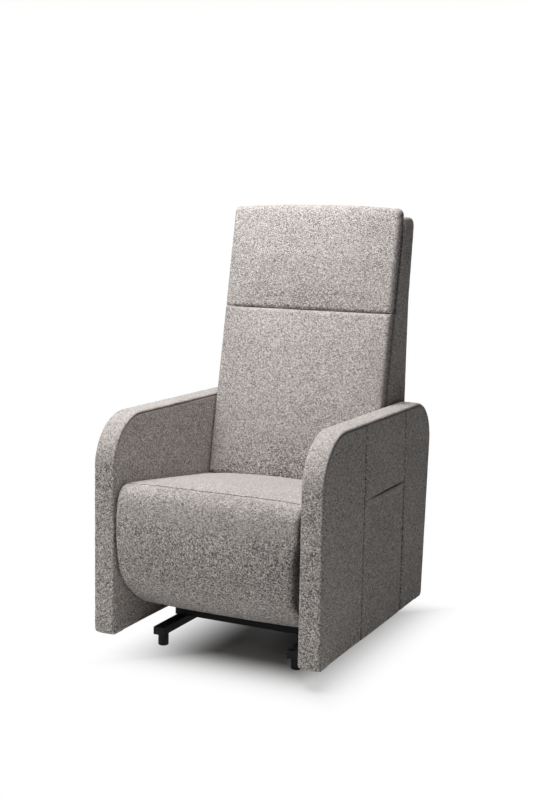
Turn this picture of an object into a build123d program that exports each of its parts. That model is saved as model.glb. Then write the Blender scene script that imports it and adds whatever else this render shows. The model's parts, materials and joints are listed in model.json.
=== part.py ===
import os
from math import cos, radians, sin, tan

from build123d import *

# Overall sizes in millimetres, read from the photo
overall_width = 616
overall_depth = 741.6
overall_height = 1120
front_bulge = 12

# Arms
arm_thickness = 56
arm_top = 604
floor_gap = 52
arm_front_radius = 130
arm_rear_radius = 110
arm_foot_radius = 14
arm_foot_setback = 28.6
arm_peak_overrun = 7.4
arm_edge_radius = 9
arm_fill_corner = 1
band_thickness = 16
arm_pad_thickness = 16
seam_front = 258
seam_rear = 540
seam_width = 2
seam_depth = 2

# Side pocket
pocket_inset = 6
pocket_foot = 200
pocket_top = 408
pocket_mouth = 3
pocket_thickness = 6

# Cushion forms
side_share = 0.1
pad_edge_radius = 8
pad_rear_round = 10

# Fits and clearances
soft_gap = 0.2
pad_gap = 1
pin_radius = 6
pin_fit = 0.08
pin_bore = 30
pin_end_gap = 2
open_pivot_fit = 0.4
layer_gap = 1
collar_gap = 0.1
collar_radius = 9
head_thickness = 3
slide_fit = 0.4
cut_gap = 2
tube_margin = 6

# Steel sections
plate = 6
tube_wall = 2
spacer_reach = 20
member_width = 35

# Base
foot_radius = 13.5
foot_height = 32
foot_chamfer = 2
foot_inset = 25
rail_width = 30
rail_height = 20
rail_front = 113
rail_rear = 640
rail_offset = 6
cap_thickness = 3
bar_depth = 30
bar_height = 20
bar_overhang = 5
front_bar = 234
rear_bar = 585

# Lift linkage
lift_depth = 262
lift_rise = 40
link_run = 209
link_rise = 15
upper_run = 44.985
upper_rise = 26.729
carriage_run = 130
carriage_rise = 50
link_end = 13
lug_end = 15
lug_foot = 28
lug_gap = 2
carriage_end = 16
lift_angle = 55
lift_tube_radius = 14

# Drives
rod_radius = 9
drive_tube_radius = 14
drive_pin_radius = 5
lever_half = 4
lever_end = 13
cheek_gap = 1
cheek_thickness = 6
cheek_radius = 11
fork_length = 36
fork_bridge = 7
slot_end_play = 1.5
housing_radius = 6

# Lift drive
lift_arm = 60
lift_spread = 1.063
lift_play = 1.1
lift_rod_length = 150
lift_tube_tail = 36
lift_motor_half = 38
lift_motor_below = 40
lift_motor_above = 30
lift_post_half = 25

# Legrest drive
legrest_angle = 80
legrest_arm = 95
legrest_spread = 1.149
legrest_play = 4.1
legrest_drive_x = -60
legrest_rod_length = 240
legrest_tube_lead = 25
legrest_tube_tail = 28
legrest_motor_half = 30
legrest_motor_below = 82
legrest_motor_above = 9
motor_can_radius = 28
motor_can_drop = 50
motor_can_length = 100

# Back drive
recline_angle = 30
back_arm = 95
back_spread = 1.0175
back_play = 0.7
back_drive_x = 60
back_motor_length = 65
back_motor_half = 30
back_motor_below = 32
back_motor_above = 71

# Legrest hinge
legrest_depth = 46
legrest_height = 385
barrel_radius = 46
barrel_crown = 16
barrel_gap = 1.5
barrel_hollow = 30
barrel_start = 70
barrel_end = 150
hollow_turn = 170
hollow_end = 262
legrest_tube_radius = 12
legrest_tube_gap = 8
legrest_arm_inset = 45
bracket_offset = 6
bracket_end = 13

# Legrest cushion, depths behind its front and drops below its hinge
knee_drop = 50
shin_depth = 5
shin_drop = 123
calf_depth = 24
calf_drop = 186
ankle_depth = 70
ankle_drop = 235
sole_depth = 130
sole_drop = 275
toe_depth = 203
toe_drop = 299
heel_depth = 212
heel_drop = 287
low_share = 0.7

# Legrest board
board_setback = 24
board_thickness = 15
board_foot_drop = 219
board_top_drop = 77
board_side_inset = 19
arm_strip = 20

# Seat frame
frame_setback = 66
frame_drop = 42
frame_overhang = 14
seat_slope = 0.1216
member_height = 45
front_member_setback = 38
rear_member_inset = 24
cross_member_depth = 30
cross_member_height = 31
strap_thickness = 2
strap_width = 50
strap_pitch = 70
strap_overlap = 28
carriage_tube_radius = 12.5
front_bolt_setback = 78
rear_bolt_inset = 40
bolt_radius = 4
bolt_head = 7
spacer_radius = 15
bolt_grip = 18

# Seat cushion
seat_side_gap = 8
seat_back_gap = 8
seat_lip_setback = 22
seat_foot_lead = 8
seat_rise = 1
seat_middle = 300
seat_middle_drop = 27
seat_rear_drop = 46
seat_crown = 20
seat_corner_round = 12
seat_top_round = 400
seat_rear_round = 18

# Back
back_depth = 548
hinge_rise = 55
back_setback = 61
back_front_rise = 51
back_lean = 11
back_side_gap = 10
back_pad_thickness = 40
back_pad_rise = 32
back_crown = 12
headrest_height = 274
seam_half = 1.5
seam_round = 14
upright_width = 30
upright_thickness = 28
upright_rise = 47
upright_top_drop = 52
cleat_shares = (0.25, 0.54, 0.84)
cleat_setback = 6
rail_thickness = 24
rail_tall = 40
low_rail_rise = 51
middle_rail_drop = 58
top_rail_drop = 94
back_strap_pitch = 90
frame_clearance = 1
hinge_plate_end = 18
back_tube_radius = 12
side_plate_offset = 8
side_plate_end = 13
side_plate_rises = (85, 155)

# Back shell
shell_wall = 8
shell_back_wall = 10
shell_drop = 13
shell_top_drop = 26
shell_gap = 1.5
shell_foot_setback = 154
shell_low_setback = 160
shell_middle_setback = 164
shell_top_setback = 192
shell_low_rise = 268
shell_middle_rise = 29
shell_front_round = 3
shell_bend = 200
shell_top_radius = 26
shell_edge_radius = 7

# Headrest
headrest_pivot = 13
headrest_rod_radius = 4
headrest_board_thickness = 10
headrest_board_rise = 18
headrest_board_drop = 40
headrest_board_inset = 42
headrest_groove = 9
sleeve_radius = 7
sleeve_inner = 50
sleeve_outer = 100
leaf_thickness = 3
leaf_height = 40
hanger_x = 120

# Sideways positions
arm_inner_x = overall_width / 2 - arm_thickness
arm_core_x = arm_inner_x + arm_pad_thickness
arm_core_outer_x = overall_width / 2 - arm_pad_thickness
member_outer_x = arm_inner_x - spacer_reach
member_inner_x = member_outer_x - member_width
carriage_x = member_inner_x - plate
lower_link_x = carriage_x - layer_gap - plate
upper_link_x = member_inner_x + layer_gap
rail_x = carriage_x + plate / 2 - rail_offset
bar_half = rail_x + rail_width / 2 + bar_overhang
seat_half = arm_inner_x - seat_side_gap
back_half = arm_inner_x - back_side_gap
bracket_x = member_inner_x + bracket_offset
legrest_tube_half = bracket_x - legrest_tube_gap
legrest_arm_x = legrest_tube_half - legrest_arm_inset
board_half = seat_half - board_side_inset
side_plate_x = member_inner_x + side_plate_offset
hinge_plate_x = side_plate_x + plate + layer_gap
upright_x = side_plate_x - upright_width
headrest_half = back_half - headrest_board_inset

# Depths behind the arm fronts
centre_depth = (overall_depth - front_bulge) / 2
arm_rear_foot = overall_depth - arm_foot_setback
arm_rear_peak = overall_depth + arm_peak_overrun
pocket_front = seam_front + pocket_inset
pocket_rear = seam_rear - pocket_inset
upper_depth = lift_depth + upper_run
lower_end_depth = lift_depth + link_run
upper_end_depth = lower_end_depth + carriage_run
legrest_front = legrest_depth - barrel_radius
board_front = legrest_depth + board_setback
frame_front = legrest_depth + frame_setback
front_member = frame_front + front_member_setback
seat_lip = legrest_depth + seat_lip_setback
seat_front_foot = frame_front - seat_foot_lead
frame_rear = back_depth + frame_overhang
back_front = back_depth - back_setback
seat_rear = back_front - seat_back_gap
rear_member = seat_rear - rear_member_inset
bolt_depths = (frame_front + front_bolt_setback, rear_member - rear_bolt_inset)
lift_pin_depth = lift_depth + lift_arm * lift_spread * radians(lift_angle / 2)
lift_tube_front = lift_pin_depth + fork_length + tube_margin
lift_tube_rear = lift_pin_depth + lift_rod_length + lift_tube_tail
lift_motor_rear = rear_bar + bar_depth
legrest_pin_depth = legrest_depth + legrest_arm * legrest_spread * radians(legrest_angle / 2)
legrest_tube_front = front_member + cross_member_depth + legrest_tube_lead
legrest_tube_rear = legrest_pin_depth + legrest_rod_length + legrest_tube_tail
back_motor_front = front_member + cross_member_depth
back_motor_rear = back_motor_front + back_motor_length
back_travel = back_arm * back_spread * radians(recline_angle)
back_pin_depth = back_depth + back_travel / 2
back_tube_rear = back_pin_depth - back_travel - fork_length - tube_margin
back_rod_front = back_motor_rear + back_travel + tube_margin
carriage_tube_depth = back_pin_depth + lever_end + carriage_tube_radius + tube_margin

# Heights above the floor
rail_top = foot_height + rail_height
bar_top = rail_top + bar_height
lift_height = rail_top + lift_rise
upper_height = lift_height + upper_rise
lower_end_height = lift_height + link_rise
upper_end_height = lower_end_height + carriage_rise
lift_axis_height = lift_height + lift_arm
lift_motor_foot = lift_axis_height - lift_motor_below
lift_motor_top = lift_axis_height + lift_motor_above
carriage_tube_height = lift_motor_top + carriage_tube_radius + tube_margin
headrest_seam = overall_height - headrest_height
legrest_axis_height = legrest_height - legrest_arm
board_foot = legrest_height - board_foot_drop
board_top = legrest_height - board_top_drop
frame_front_top = legrest_height - frame_drop
seat_side_front = legrest_height + barrel_radius + seat_rise
back_height = frame_front_top - seat_slope * (back_depth - frame_front) + hinge_rise
back_axis_height = back_height - back_arm
back_front_height = back_height + back_front_rise
back_pad_foot = back_height + back_pad_rise
upright_foot = back_height + upright_rise
upright_top = overall_height - upright_top_drop
rail_heights = (
    back_height + low_rail_rise,
    headrest_seam - middle_rail_drop,
    overall_height - top_rail_drop,
)
shell_foot = back_height - shell_drop
shell_low_height = shell_foot + shell_low_rise
shell_middle_height = headrest_seam + shell_middle_rise
shell_top = overall_height - shell_top_drop
headrest_board_foot = headrest_seam + headrest_board_rise
headrest_board_top = overall_height - headrest_board_drop
leaf_top = headrest_board_foot + leaf_height
hanger_top = headrest_seam + sleeve_radius
frame_gap = back_pad_thickness + frame_clearance


def side(depth, height):
    """Point of the side view, depth measured behind the arm fronts."""
    return (depth - centre_depth, height)


def side_plane(x):
    """Side view plane at a sideways position."""
    return Plane.YZ.offset(x)


def front_line(height):
    """Depth of the leaning front line of the back cushions."""
    return back_front + (height - back_front_height) * tan(radians(back_lean))


def behind(offset, height):
    """Side view point set back from the front line of the back."""
    return side(front_line(height) + offset, height)


def frame_top(depth):
    """Height of the sloping top of the seat frame."""
    return frame_front_top - seat_slope * (depth - frame_front)


def around(depth, height, radius, angle):
    """Side view point on a circle, angle counted from the rear upwards."""
    return side(depth + radius * cos(radians(angle)), height + radius * sin(radians(angle)))


def round_bar(depth, height, radius, x_from, x_to, mode=Mode.ADD):
    """Round bar lying sideways."""
    y, z = side(depth, height)
    with Locations(Location(((x_from + x_to) / 2, y, z), (0, 90, 0))):
        Cylinder(radius, abs(x_to - x_from), mode=mode)


def long_bar(x, height, radius, depth_from, depth_to, mode=Mode.ADD):
    """Round bar lying front to rear."""
    middle, z = side((depth_from + depth_to) / 2, height)
    with Locations(Location((x, middle, z), (90, 0, 0))):
        Cylinder(radius, abs(depth_to - depth_from), mode=mode)


def block(x_from, x_to, depth_from, depth_to, z_from, z_to, mode=Mode.ADD):
    """Square block between two corners."""
    middle, z = side((depth_from + depth_to) / 2, (z_from + z_to) / 2)
    with Locations(((x_from + x_to) / 2, middle, z)):
        Box(x_to - x_from, depth_to - depth_from, z_to - z_from, mode=mode)


def disc(depth, height, radius, mode=Mode.ADD):
    """Round patch of a side view sketch."""
    with Locations(side(depth, height)):
        Circle(radius, mode=mode)


def outline(*points):
    """Straight-sided patch of a side view sketch."""
    Polygon(*points, align=None)


def lever_slot(depth, height, angle, near, far, width):
    """Radial slot of a lever, cut from a side view sketch."""
    start = Vector(*around(depth, height, near, angle))
    end = Vector(*around(depth, height, far, angle))
    SlotCenterPoint((start + end) / 2, end, width, mode=Mode.SUBTRACT)


def fork(x, pin_depth, height, toward):
    """Two cheeks and a cross pin that ride a lever, with a bridge to the rod."""
    inner = lever_half + cheek_gap
    outer = inner + cheek_thickness
    tail = pin_depth + toward * fork_length
    bridge = tail - toward * fork_bridge
    low, high = sorted((pin_depth, tail))
    for near, far in ((x - outer, x - inner), (x + inner, x + outer)):
        block(near, far, low, high, height - cheek_radius, height + cheek_radius)
        round_bar(pin_depth, height, cheek_radius, near, far)
    round_bar(pin_depth, height, drive_pin_radius, x - outer, x + outer)
    low, high = sorted((bridge, tail))
    block(x - outer, x + outer, low, high, height - cheek_radius, height + cheek_radius)


def arm_outline(inset, foot, foot_radius):
    """Side outline of an arm, drawn in by an inset."""
    FilletPolyline(
        side(inset, foot),
        side(inset, arm_top - inset),
        side(arm_rear_peak - inset, arm_top - inset),
        side(arm_rear_foot - inset, foot),
        radius=(foot_radius, arm_front_radius - inset, arm_rear_radius - inset, foot_radius),
        close=True,
    )


def back_outline(foot, top, rear, crown, foot_crown):
    """Side outline of a back cushion with a crown on its front."""
    FilletPolyline(
        behind(rear, foot),
        behind(-foot_crown, foot),
        behind(-crown, (foot + top) / 2),
        behind(-crown / 2, top),
        behind(rear, top),
        radius=(pad_rear_round, seam_round, (top - foot) / 3, seam_round, pad_rear_round),
        close=True,
    )


def pad_stations(half):
    """Sideways stations of a cushion with their share of the crown."""
    return ((-half, side_share), (0, 1), (half, side_share))


headrest_rod_depth = front_line(headrest_seam) + headrest_pivot
fill_inset = band_thickness + soft_gap

# Base rails
with BuildPart() as base_rail_right:
    block(
        rail_x - rail_width / 2,
        rail_x + rail_width / 2,
        rail_front + cap_thickness,
        rail_rear - cap_thickness,
        foot_height,
        rail_top,
    )
    block(
        rail_x - rail_width / 2 + tube_wall,
        rail_x + rail_width / 2 - tube_wall,
        rail_front,
        rail_rear,
        foot_height + tube_wall,
        rail_top - tube_wall,
        mode=Mode.SUBTRACT,
    )

with BuildPart() as base_rail_left:
    mirror(base_rail_right.part, about=Plane.YZ)

with BuildPart() as rail_end_caps:
    for start in (rail_front, rail_rear - cap_thickness):
        block(
            rail_x - rail_width / 2,
            rail_x + rail_width / 2,
            start,
            start + cap_thickness,
            foot_height,
            rail_top,
        )
    mirror(about=Plane.YZ)

# Feet
with BuildPart() as base_feet:
    foot_spots = [
        (x, side(depth, 0)[0])
        for x in (-rail_x, rail_x)
        for depth in (rail_front + foot_inset, rail_rear - foot_inset)
    ]
    with BuildSketch(Plane.XY):
        with Locations(*foot_spots):
            Circle(foot_radius)
    extrude(amount=foot_height)
    chamfer(base_feet.edges().group_by(Axis.Z)[0], foot_chamfer)

# Cross bars
with BuildPart() as front_cross_bar:
    block(-bar_half, bar_half, front_bar, front_bar + bar_depth, rail_top, bar_top)
    block(
        -bar_half,
        bar_half,
        front_bar + tube_wall,
        front_bar + bar_depth - tube_wall,
        rail_top + tube_wall,
        bar_top - tube_wall,
        mode=Mode.SUBTRACT,
    )

with BuildPart() as rear_cross_bar:
    block(-bar_half, bar_half, rear_bar, rear_bar + bar_depth, rail_top, bar_top)
    block(
        -bar_half,
        bar_half,
        rear_bar + tube_wall,
        rear_bar + bar_depth - tube_wall,
        rail_top + tube_wall,
        bar_top - tube_wall,
        mode=Mode.SUBTRACT,
    )
    block(
        -lift_post_half, lift_post_half, rear_bar, rear_bar + bar_depth, bar_top, lift_motor_foot
    )

# Lift lugs on the rails
with BuildPart() as lift_lugs:
    with BuildSketch(side_plane(carriage_x)):
        disc(lift_depth, lift_height, lug_end)
        disc(upper_depth, upper_height, lug_end)
        make_hull()
        outline(
            side(front_bar + bar_depth + lug_gap, rail_top),
            side(upper_depth + lug_foot, rail_top),
            side(upper_depth + lug_end, upper_height),
            side(front_bar + bar_depth + lug_gap, lift_height),
        )
        disc(lift_depth, lift_height, pin_radius + pin_fit, Mode.SUBTRACT)
        disc(upper_depth, upper_height, pin_radius + pin_fit, Mode.SUBTRACT)
    extrude(amount=plate)
    mirror(about=Plane.YZ)

with BuildPart() as lift_pins:
    round_bar(lift_depth, lift_height, pin_radius, lower_link_x - pin_bore + pin_end_gap, member_inner_x)
    round_bar(lift_depth, lift_height, collar_radius, carriage_x - layer_gap + collar_gap, carriage_x)
    round_bar(
        lift_depth, lift_height, collar_radius, member_inner_x, member_inner_x + head_thickness
    )
    round_bar(
        upper_depth,
        upper_height,
        pin_radius,
        carriage_x,
        upper_link_x + plate + collar_gap + head_thickness,
    )
    round_bar(
        upper_depth, upper_height, collar_radius, member_inner_x, upper_link_x - collar_gap
    )
    round_bar(
        upper_depth,
        upper_height,
        collar_radius,
        upper_link_x + plate + collar_gap,
        upper_link_x + plate + collar_gap + head_thickness,
    )
    mirror(about=Plane.YZ)

# Lift drive on the base
with BuildPart() as lift_motor:
    block(
        -lift_motor_half,
        lift_motor_half,
        lift_tube_rear,
        lift_motor_rear,
        lift_motor_foot,
        lift_motor_top,
    )
    fillet(lift_motor.edges().filter_by(Axis.Y), housing_radius)

with BuildPart() as lift_drive_tube:
    long_bar(0, lift_axis_height, drive_tube_radius, lift_tube_front, lift_tube_rear)
    long_bar(
        0,
        lift_axis_height,
        rod_radius + slide_fit,
        lift_tube_front,
        lift_tube_rear,
        Mode.SUBTRACT,
    )

with BuildPart() as lift_drive_rod:
    fork(0, lift_pin_depth, lift_axis_height, 1)
    long_bar(
        0,
        lift_axis_height,
        rod_radius,
        lift_pin_depth + fork_length,
        lift_pin_depth + lift_rod_length,
    )

# Lower lift links with their torque tube
with BuildPart() as lower_link_right:
    with BuildSketch(side_plane(lower_link_x)):
        disc(lift_depth, lift_height, link_end)
        disc(lower_end_depth, lower_end_height, link_end)
        make_hull()
        disc(lift_depth, lift_height, pin_radius + pin_fit, Mode.SUBTRACT)
        disc(lower_end_depth, lower_end_height, pin_radius + pin_fit, Mode.SUBTRACT)
    extrude(amount=plate)

with BuildPart() as lower_link_left:
    mirror(lower_link_right.part, about=Plane.YZ)

with BuildPart() as lift_torque_tube:
    lift_lever_angle = 90 - lift_angle / 2
    lift_far = lift_arm / cos(radians(lift_angle / 2))
    with BuildSketch(side_plane(-lever_half)):
        disc(lift_depth, lift_height, lift_tube_radius + plate)
        with Locations(around(lift_depth, lift_height, lift_far + lever_end, lift_lever_angle)):
            Circle(lever_end)
        make_hull()
        lever_slot(
            lift_depth,
            lift_height,
            lift_lever_angle,
            lift_arm - slot_end_play,
            lift_far + slot_end_play,
            2 * (drive_pin_radius + lift_play),
        )
    extrude(amount=2 * lever_half)
    round_bar(lift_depth, lift_height, lift_tube_radius, -lower_link_x, lower_link_x)
    for end in (-lower_link_x, lower_link_x - pin_bore):
        round_bar(
            lift_depth, lift_height, pin_radius + pin_fit, end, end + pin_bore, Mode.SUBTRACT
        )

# Upper lift links
with BuildPart() as upper_link_right:
    with BuildSketch(side_plane(upper_link_x)):
        disc(upper_depth, upper_height, link_end)
        disc(upper_end_depth, upper_end_height, link_end)
        make_hull()
        disc(upper_depth, upper_height, pin_radius + pin_fit, Mode.SUBTRACT)
        disc(upper_end_depth, upper_end_height, pin_radius + open_pivot_fit, Mode.SUBTRACT)
    extrude(amount=plate)

with BuildPart() as upper_link_left:
    mirror(upper_link_right.part, about=Plane.YZ)

# Seat carriage
with BuildPart() as carriage_plate_right:
    with BuildSketch(side_plane(carriage_x)):
        disc(lower_end_depth, lower_end_height, carriage_end)
        disc(upper_end_depth, upper_end_height, carriage_end)
        for depth in (rear_member - link_end, frame_rear - link_end):
            disc(depth, frame_top(depth) - member_height / 2, link_end)
        disc(carriage_tube_depth, carriage_tube_height, carriage_tube_radius)
        make_hull()
        disc(lower_end_depth, lower_end_height, pin_radius + pin_fit, Mode.SUBTRACT)
        disc(upper_end_depth, upper_end_height, pin_radius + pin_fit, Mode.SUBTRACT)
    extrude(amount=plate)

with BuildPart() as carriage_plate_left:
    mirror(carriage_plate_right.part, about=Plane.YZ)

with BuildPart() as carriage_tube:
    round_bar(
        carriage_tube_depth, carriage_tube_height, carriage_tube_radius, -carriage_x, carriage_x
    )
    round_bar(
        carriage_tube_depth,
        carriage_tube_height,
        carriage_tube_radius - tube_wall,
        -carriage_x,
        carriage_x,
        Mode.SUBTRACT,
    )

with BuildPart() as carriage_pins:
    lower_head = lower_link_x - collar_gap
    round_bar(
        lower_end_depth, lower_end_height, pin_radius, lower_head - head_thickness, member_inner_x
    )
    round_bar(
        lower_end_depth,
        lower_end_height,
        collar_radius,
        carriage_x - layer_gap + collar_gap,
        carriage_x,
    )
    round_bar(
        lower_end_depth, lower_end_height, collar_radius, lower_head - head_thickness, lower_head
    )
    upper_head = upper_link_x + plate + collar_gap
    round_bar(
        upper_end_depth, upper_end_height, pin_radius, carriage_x, upper_head + head_thickness
    )
    round_bar(
        upper_end_depth,
        upper_end_height,
        collar_radius,
        member_inner_x,
        upper_link_x - collar_gap,
    )
    round_bar(
        upper_end_depth, upper_end_height, collar_radius, upper_head, upper_head + head_thickness
    )
    mirror(about=Plane.YZ)

# Seat frame
with BuildPart() as seat_member_right:
    with BuildSketch(side_plane(member_inner_x)):
        outline(
            side(frame_front, frame_top(frame_front) - member_height),
            side(frame_rear, frame_top(frame_rear) - member_height),
            side(frame_rear, frame_top(frame_rear)),
            side(frame_front, frame_top(frame_front)),
        )
        for depth in bolt_depths:
            disc(depth, frame_top(depth) - member_height / 2, bolt_radius + pin_fit, Mode.SUBTRACT)
    extrude(amount=member_width)

with BuildPart() as seat_member_left:
    mirror(seat_member_right.part, about=Plane.YZ)

with BuildPart() as seat_cross_members:
    for start, half in ((front_member, member_inner_x), (rear_member, carriage_x)):
        end = start + cross_member_depth
        with BuildSketch(side_plane(-half)):
            outline(
                side(start, frame_top(start) - cross_member_height),
                side(end, frame_top(end) - cross_member_height),
                side(end, frame_top(end)),
                side(start, frame_top(start)),
            )
        extrude(amount=2 * half)

with BuildPart() as seat_straps:
    strap_front = front_member + cross_member_depth - strap_overlap
    strap_rear = rear_member + strap_overlap
    for column in (-2, -1, 0, 1, 2):
        with BuildSketch(side_plane(column * strap_pitch - strap_width / 2)):
            outline(
                side(strap_front, frame_top(strap_front)),
                side(strap_rear, frame_top(strap_rear)),
                side(strap_rear, frame_top(strap_rear) + strap_thickness),
                side(strap_front, frame_top(strap_front) + strap_thickness),
            )
        extrude(amount=strap_width)

# Seat cushion
with BuildPart() as seat_pad:
    pad_lift = strap_thickness + pad_gap
    for x, share in pad_stations(seat_half):
        crown = seat_crown * share
        with BuildSketch(side_plane(x)):
            with BuildLine():
                FilletPolyline(
                    side(seat_front_foot, frame_top(seat_front_foot) + pad_lift),
                    side(seat_lip, seat_side_front + crown),
                    side(seat_middle, seat_side_front - seat_middle_drop + crown),
                    side(seat_rear, seat_side_front - seat_rear_drop + crown / 2),
                    side(seat_rear, frame_top(seat_rear) + pad_lift),
                    radius=(
                        seat_corner_round,
                        seat_corner_round,
                        seat_top_round,
                        seat_rear_round,
                        seat_corner_round,
                    ),
                    close=True,
                )
            make_face()
    loft()
    seat_rims = seat_pad.edges().group_by(Axis.X)
    fillet(seat_rims[0] + seat_rims[-1], pad_edge_radius)
    for x, share in pad_stations(seat_half + cut_gap):
        with BuildSketch(side_plane(x)):
            disc(legrest_depth, legrest_height, barrel_radius + barrel_crown * share + barrel_gap)
    loft(mode=Mode.SUBTRACT)

# Arms
with BuildPart() as arm_band_right:
    with BuildSketch(side_plane(arm_inner_x)):
        with BuildLine():
            arm_outline(0, floor_gap, arm_foot_radius)
        make_face()
    extrude(amount=arm_thickness)
    arm_rims = arm_band_right.edges().group_by(Axis.X)
    fillet(arm_rims[0] + arm_rims[-1], arm_edge_radius)
    with BuildSketch(side_plane(arm_inner_x)):
        with BuildLine():
            arm_outline(band_thickness, floor_gap - band_thickness, arm_fill_corner)
        make_face()
    extrude(amount=arm_thickness, mode=Mode.SUBTRACT)

with BuildPart() as arm_band_left:
    mirror(arm_band_right.part, about=Plane.YZ)

with BuildPart() as arm_core_right:
    with BuildSketch(side_plane(arm_core_x)):
        with BuildLine():
            arm_outline(fill_inset, floor_gap + cut_gap, arm_fill_corner)
        make_face()
        for depth in bolt_depths:
            disc(depth, frame_top(depth) - member_height / 2, bolt_radius + pin_fit, Mode.SUBTRACT)
    extrude(amount=arm_core_outer_x - arm_core_x)

with BuildPart() as arm_core_left:
    mirror(arm_core_right.part, about=Plane.YZ)

with BuildPart() as arm_inner_pad_right:
    with BuildSketch(side_plane(arm_inner_x)):
        with BuildLine():
            arm_outline(fill_inset, floor_gap + cut_gap, arm_fill_corner)
        make_face()
        for depth in bolt_depths:
            disc(depth, frame_top(depth) - member_height / 2, spacer_radius + slide_fit, Mode.SUBTRACT)
    extrude(amount=arm_pad_thickness - soft_gap)

with BuildPart() as arm_inner_pad_left:
    mirror(arm_inner_pad_right.part, about=Plane.YZ)

with BuildPart() as arm_outer_pad_left:
    with BuildSketch(side_plane(-overall_width / 2)):
        with BuildLine():
            arm_outline(fill_inset, floor_gap + cut_gap, arm_fill_corner)
        make_face()
    extrude(amount=arm_pad_thickness - soft_gap)
    for seam in (seam_front, seam_rear):
        block(
            -overall_width / 2,
            -overall_width / 2 + seam_depth,
            seam - seam_width / 2,
            seam + seam_width / 2,
            0,
            arm_top,
            mode=Mode.SUBTRACT,
        )

with BuildPart() as arm_outer_pad_right:
    mirror(arm_outer_pad_left.part, about=Plane.YZ)
    block(
        overall_width / 2 - pocket_thickness,
        overall_width / 2,
        pocket_front,
        pocket_rear,
        pocket_foot,
        pocket_top,
        mode=Mode.SUBTRACT,
    )

with BuildPart() as side_pocket:
    block(
        overall_width / 2 - pocket_thickness,
        overall_width / 2,
        pocket_front + soft_gap,
        pocket_rear - soft_gap,
        pocket_foot + soft_gap,
        pocket_top - pocket_mouth,
    )

with BuildPart() as arm_spacers:
    for depth in bolt_depths:
        height = frame_top(depth) - member_height / 2
        round_bar(depth, height, spacer_radius, member_outer_x, arm_core_x)
        round_bar(
            depth, height, bolt_radius + pin_fit, member_outer_x, arm_core_x, Mode.SUBTRACT
        )
    mirror(about=Plane.YZ)

with BuildPart() as arm_bolts:
    for depth in bolt_depths:
        height = frame_top(depth) - member_height / 2
        round_bar(depth, height, bolt_radius, member_inner_x, arm_core_x + bolt_grip)
        round_bar(depth, height, bolt_head, member_inner_x - head_thickness, member_inner_x)
    mirror(about=Plane.YZ)

# Legrest hinge on the carriage
with BuildPart() as legrest_brackets:
    with BuildSketch(side_plane(bracket_x)):
        disc(legrest_depth, legrest_height, bracket_end)
        disc(frame_front - bracket_end, frame_front_top - bracket_end, bracket_end - plate / 2)
        make_hull()
        outline(
            side(frame_front - bracket_end, frame_front_top - member_height + plate),
            side(frame_front, frame_front_top - member_height + plate),
            side(frame_front, frame_front_top - plate),
            side(frame_front - bracket_end, frame_front_top - bracket_end),
        )
        disc(legrest_depth, legrest_height, pin_radius + pin_fit, Mode.SUBTRACT)
    extrude(amount=plate)
    mirror(about=Plane.YZ)

with BuildPart() as legrest_pins:
    round_bar(
        legrest_depth,
        legrest_height,
        pin_radius,
        legrest_tube_half - pin_bore + pin_end_gap,
        bracket_x + plate + head_thickness,
    )
    round_bar(
        legrest_depth, legrest_height, collar_radius, legrest_tube_half + layer_gap, bracket_x
    )
    round_bar(
        legrest_depth,
        legrest_height,
        collar_radius,
        bracket_x + plate,
        bracket_x + plate + head_thickness,
    )
    mirror(about=Plane.YZ)

# Legrest drive on the carriage
with BuildPart() as legrest_motor:
    block(
        legrest_drive_x - legrest_motor_half,
        legrest_drive_x + legrest_motor_half,
        legrest_tube_rear,
        rear_member,
        legrest_axis_height - legrest_motor_below,
        legrest_axis_height + legrest_motor_above,
    )
    fillet(legrest_motor.edges().filter_by(Axis.Y), housing_radius)
    long_bar(
        legrest_drive_x,
        legrest_axis_height - motor_can_drop,
        motor_can_radius,
        legrest_tube_rear - motor_can_length,
        legrest_tube_rear,
    )

with BuildPart() as legrest_drive_tube:
    long_bar(
        legrest_drive_x,
        legrest_axis_height,
        drive_tube_radius,
        legrest_tube_front,
        legrest_tube_rear,
    )
    long_bar(
        legrest_drive_x,
        legrest_axis_height,
        rod_radius + slide_fit,
        legrest_tube_front,
        legrest_tube_rear,
        Mode.SUBTRACT,
    )

with BuildPart() as legrest_drive_rod:
    fork(legrest_drive_x, legrest_pin_depth, legrest_axis_height, 1)
    long_bar(
        legrest_drive_x,
        legrest_axis_height,
        rod_radius,
        legrest_pin_depth + fork_length,
        legrest_pin_depth + legrest_rod_length,
    )

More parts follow.
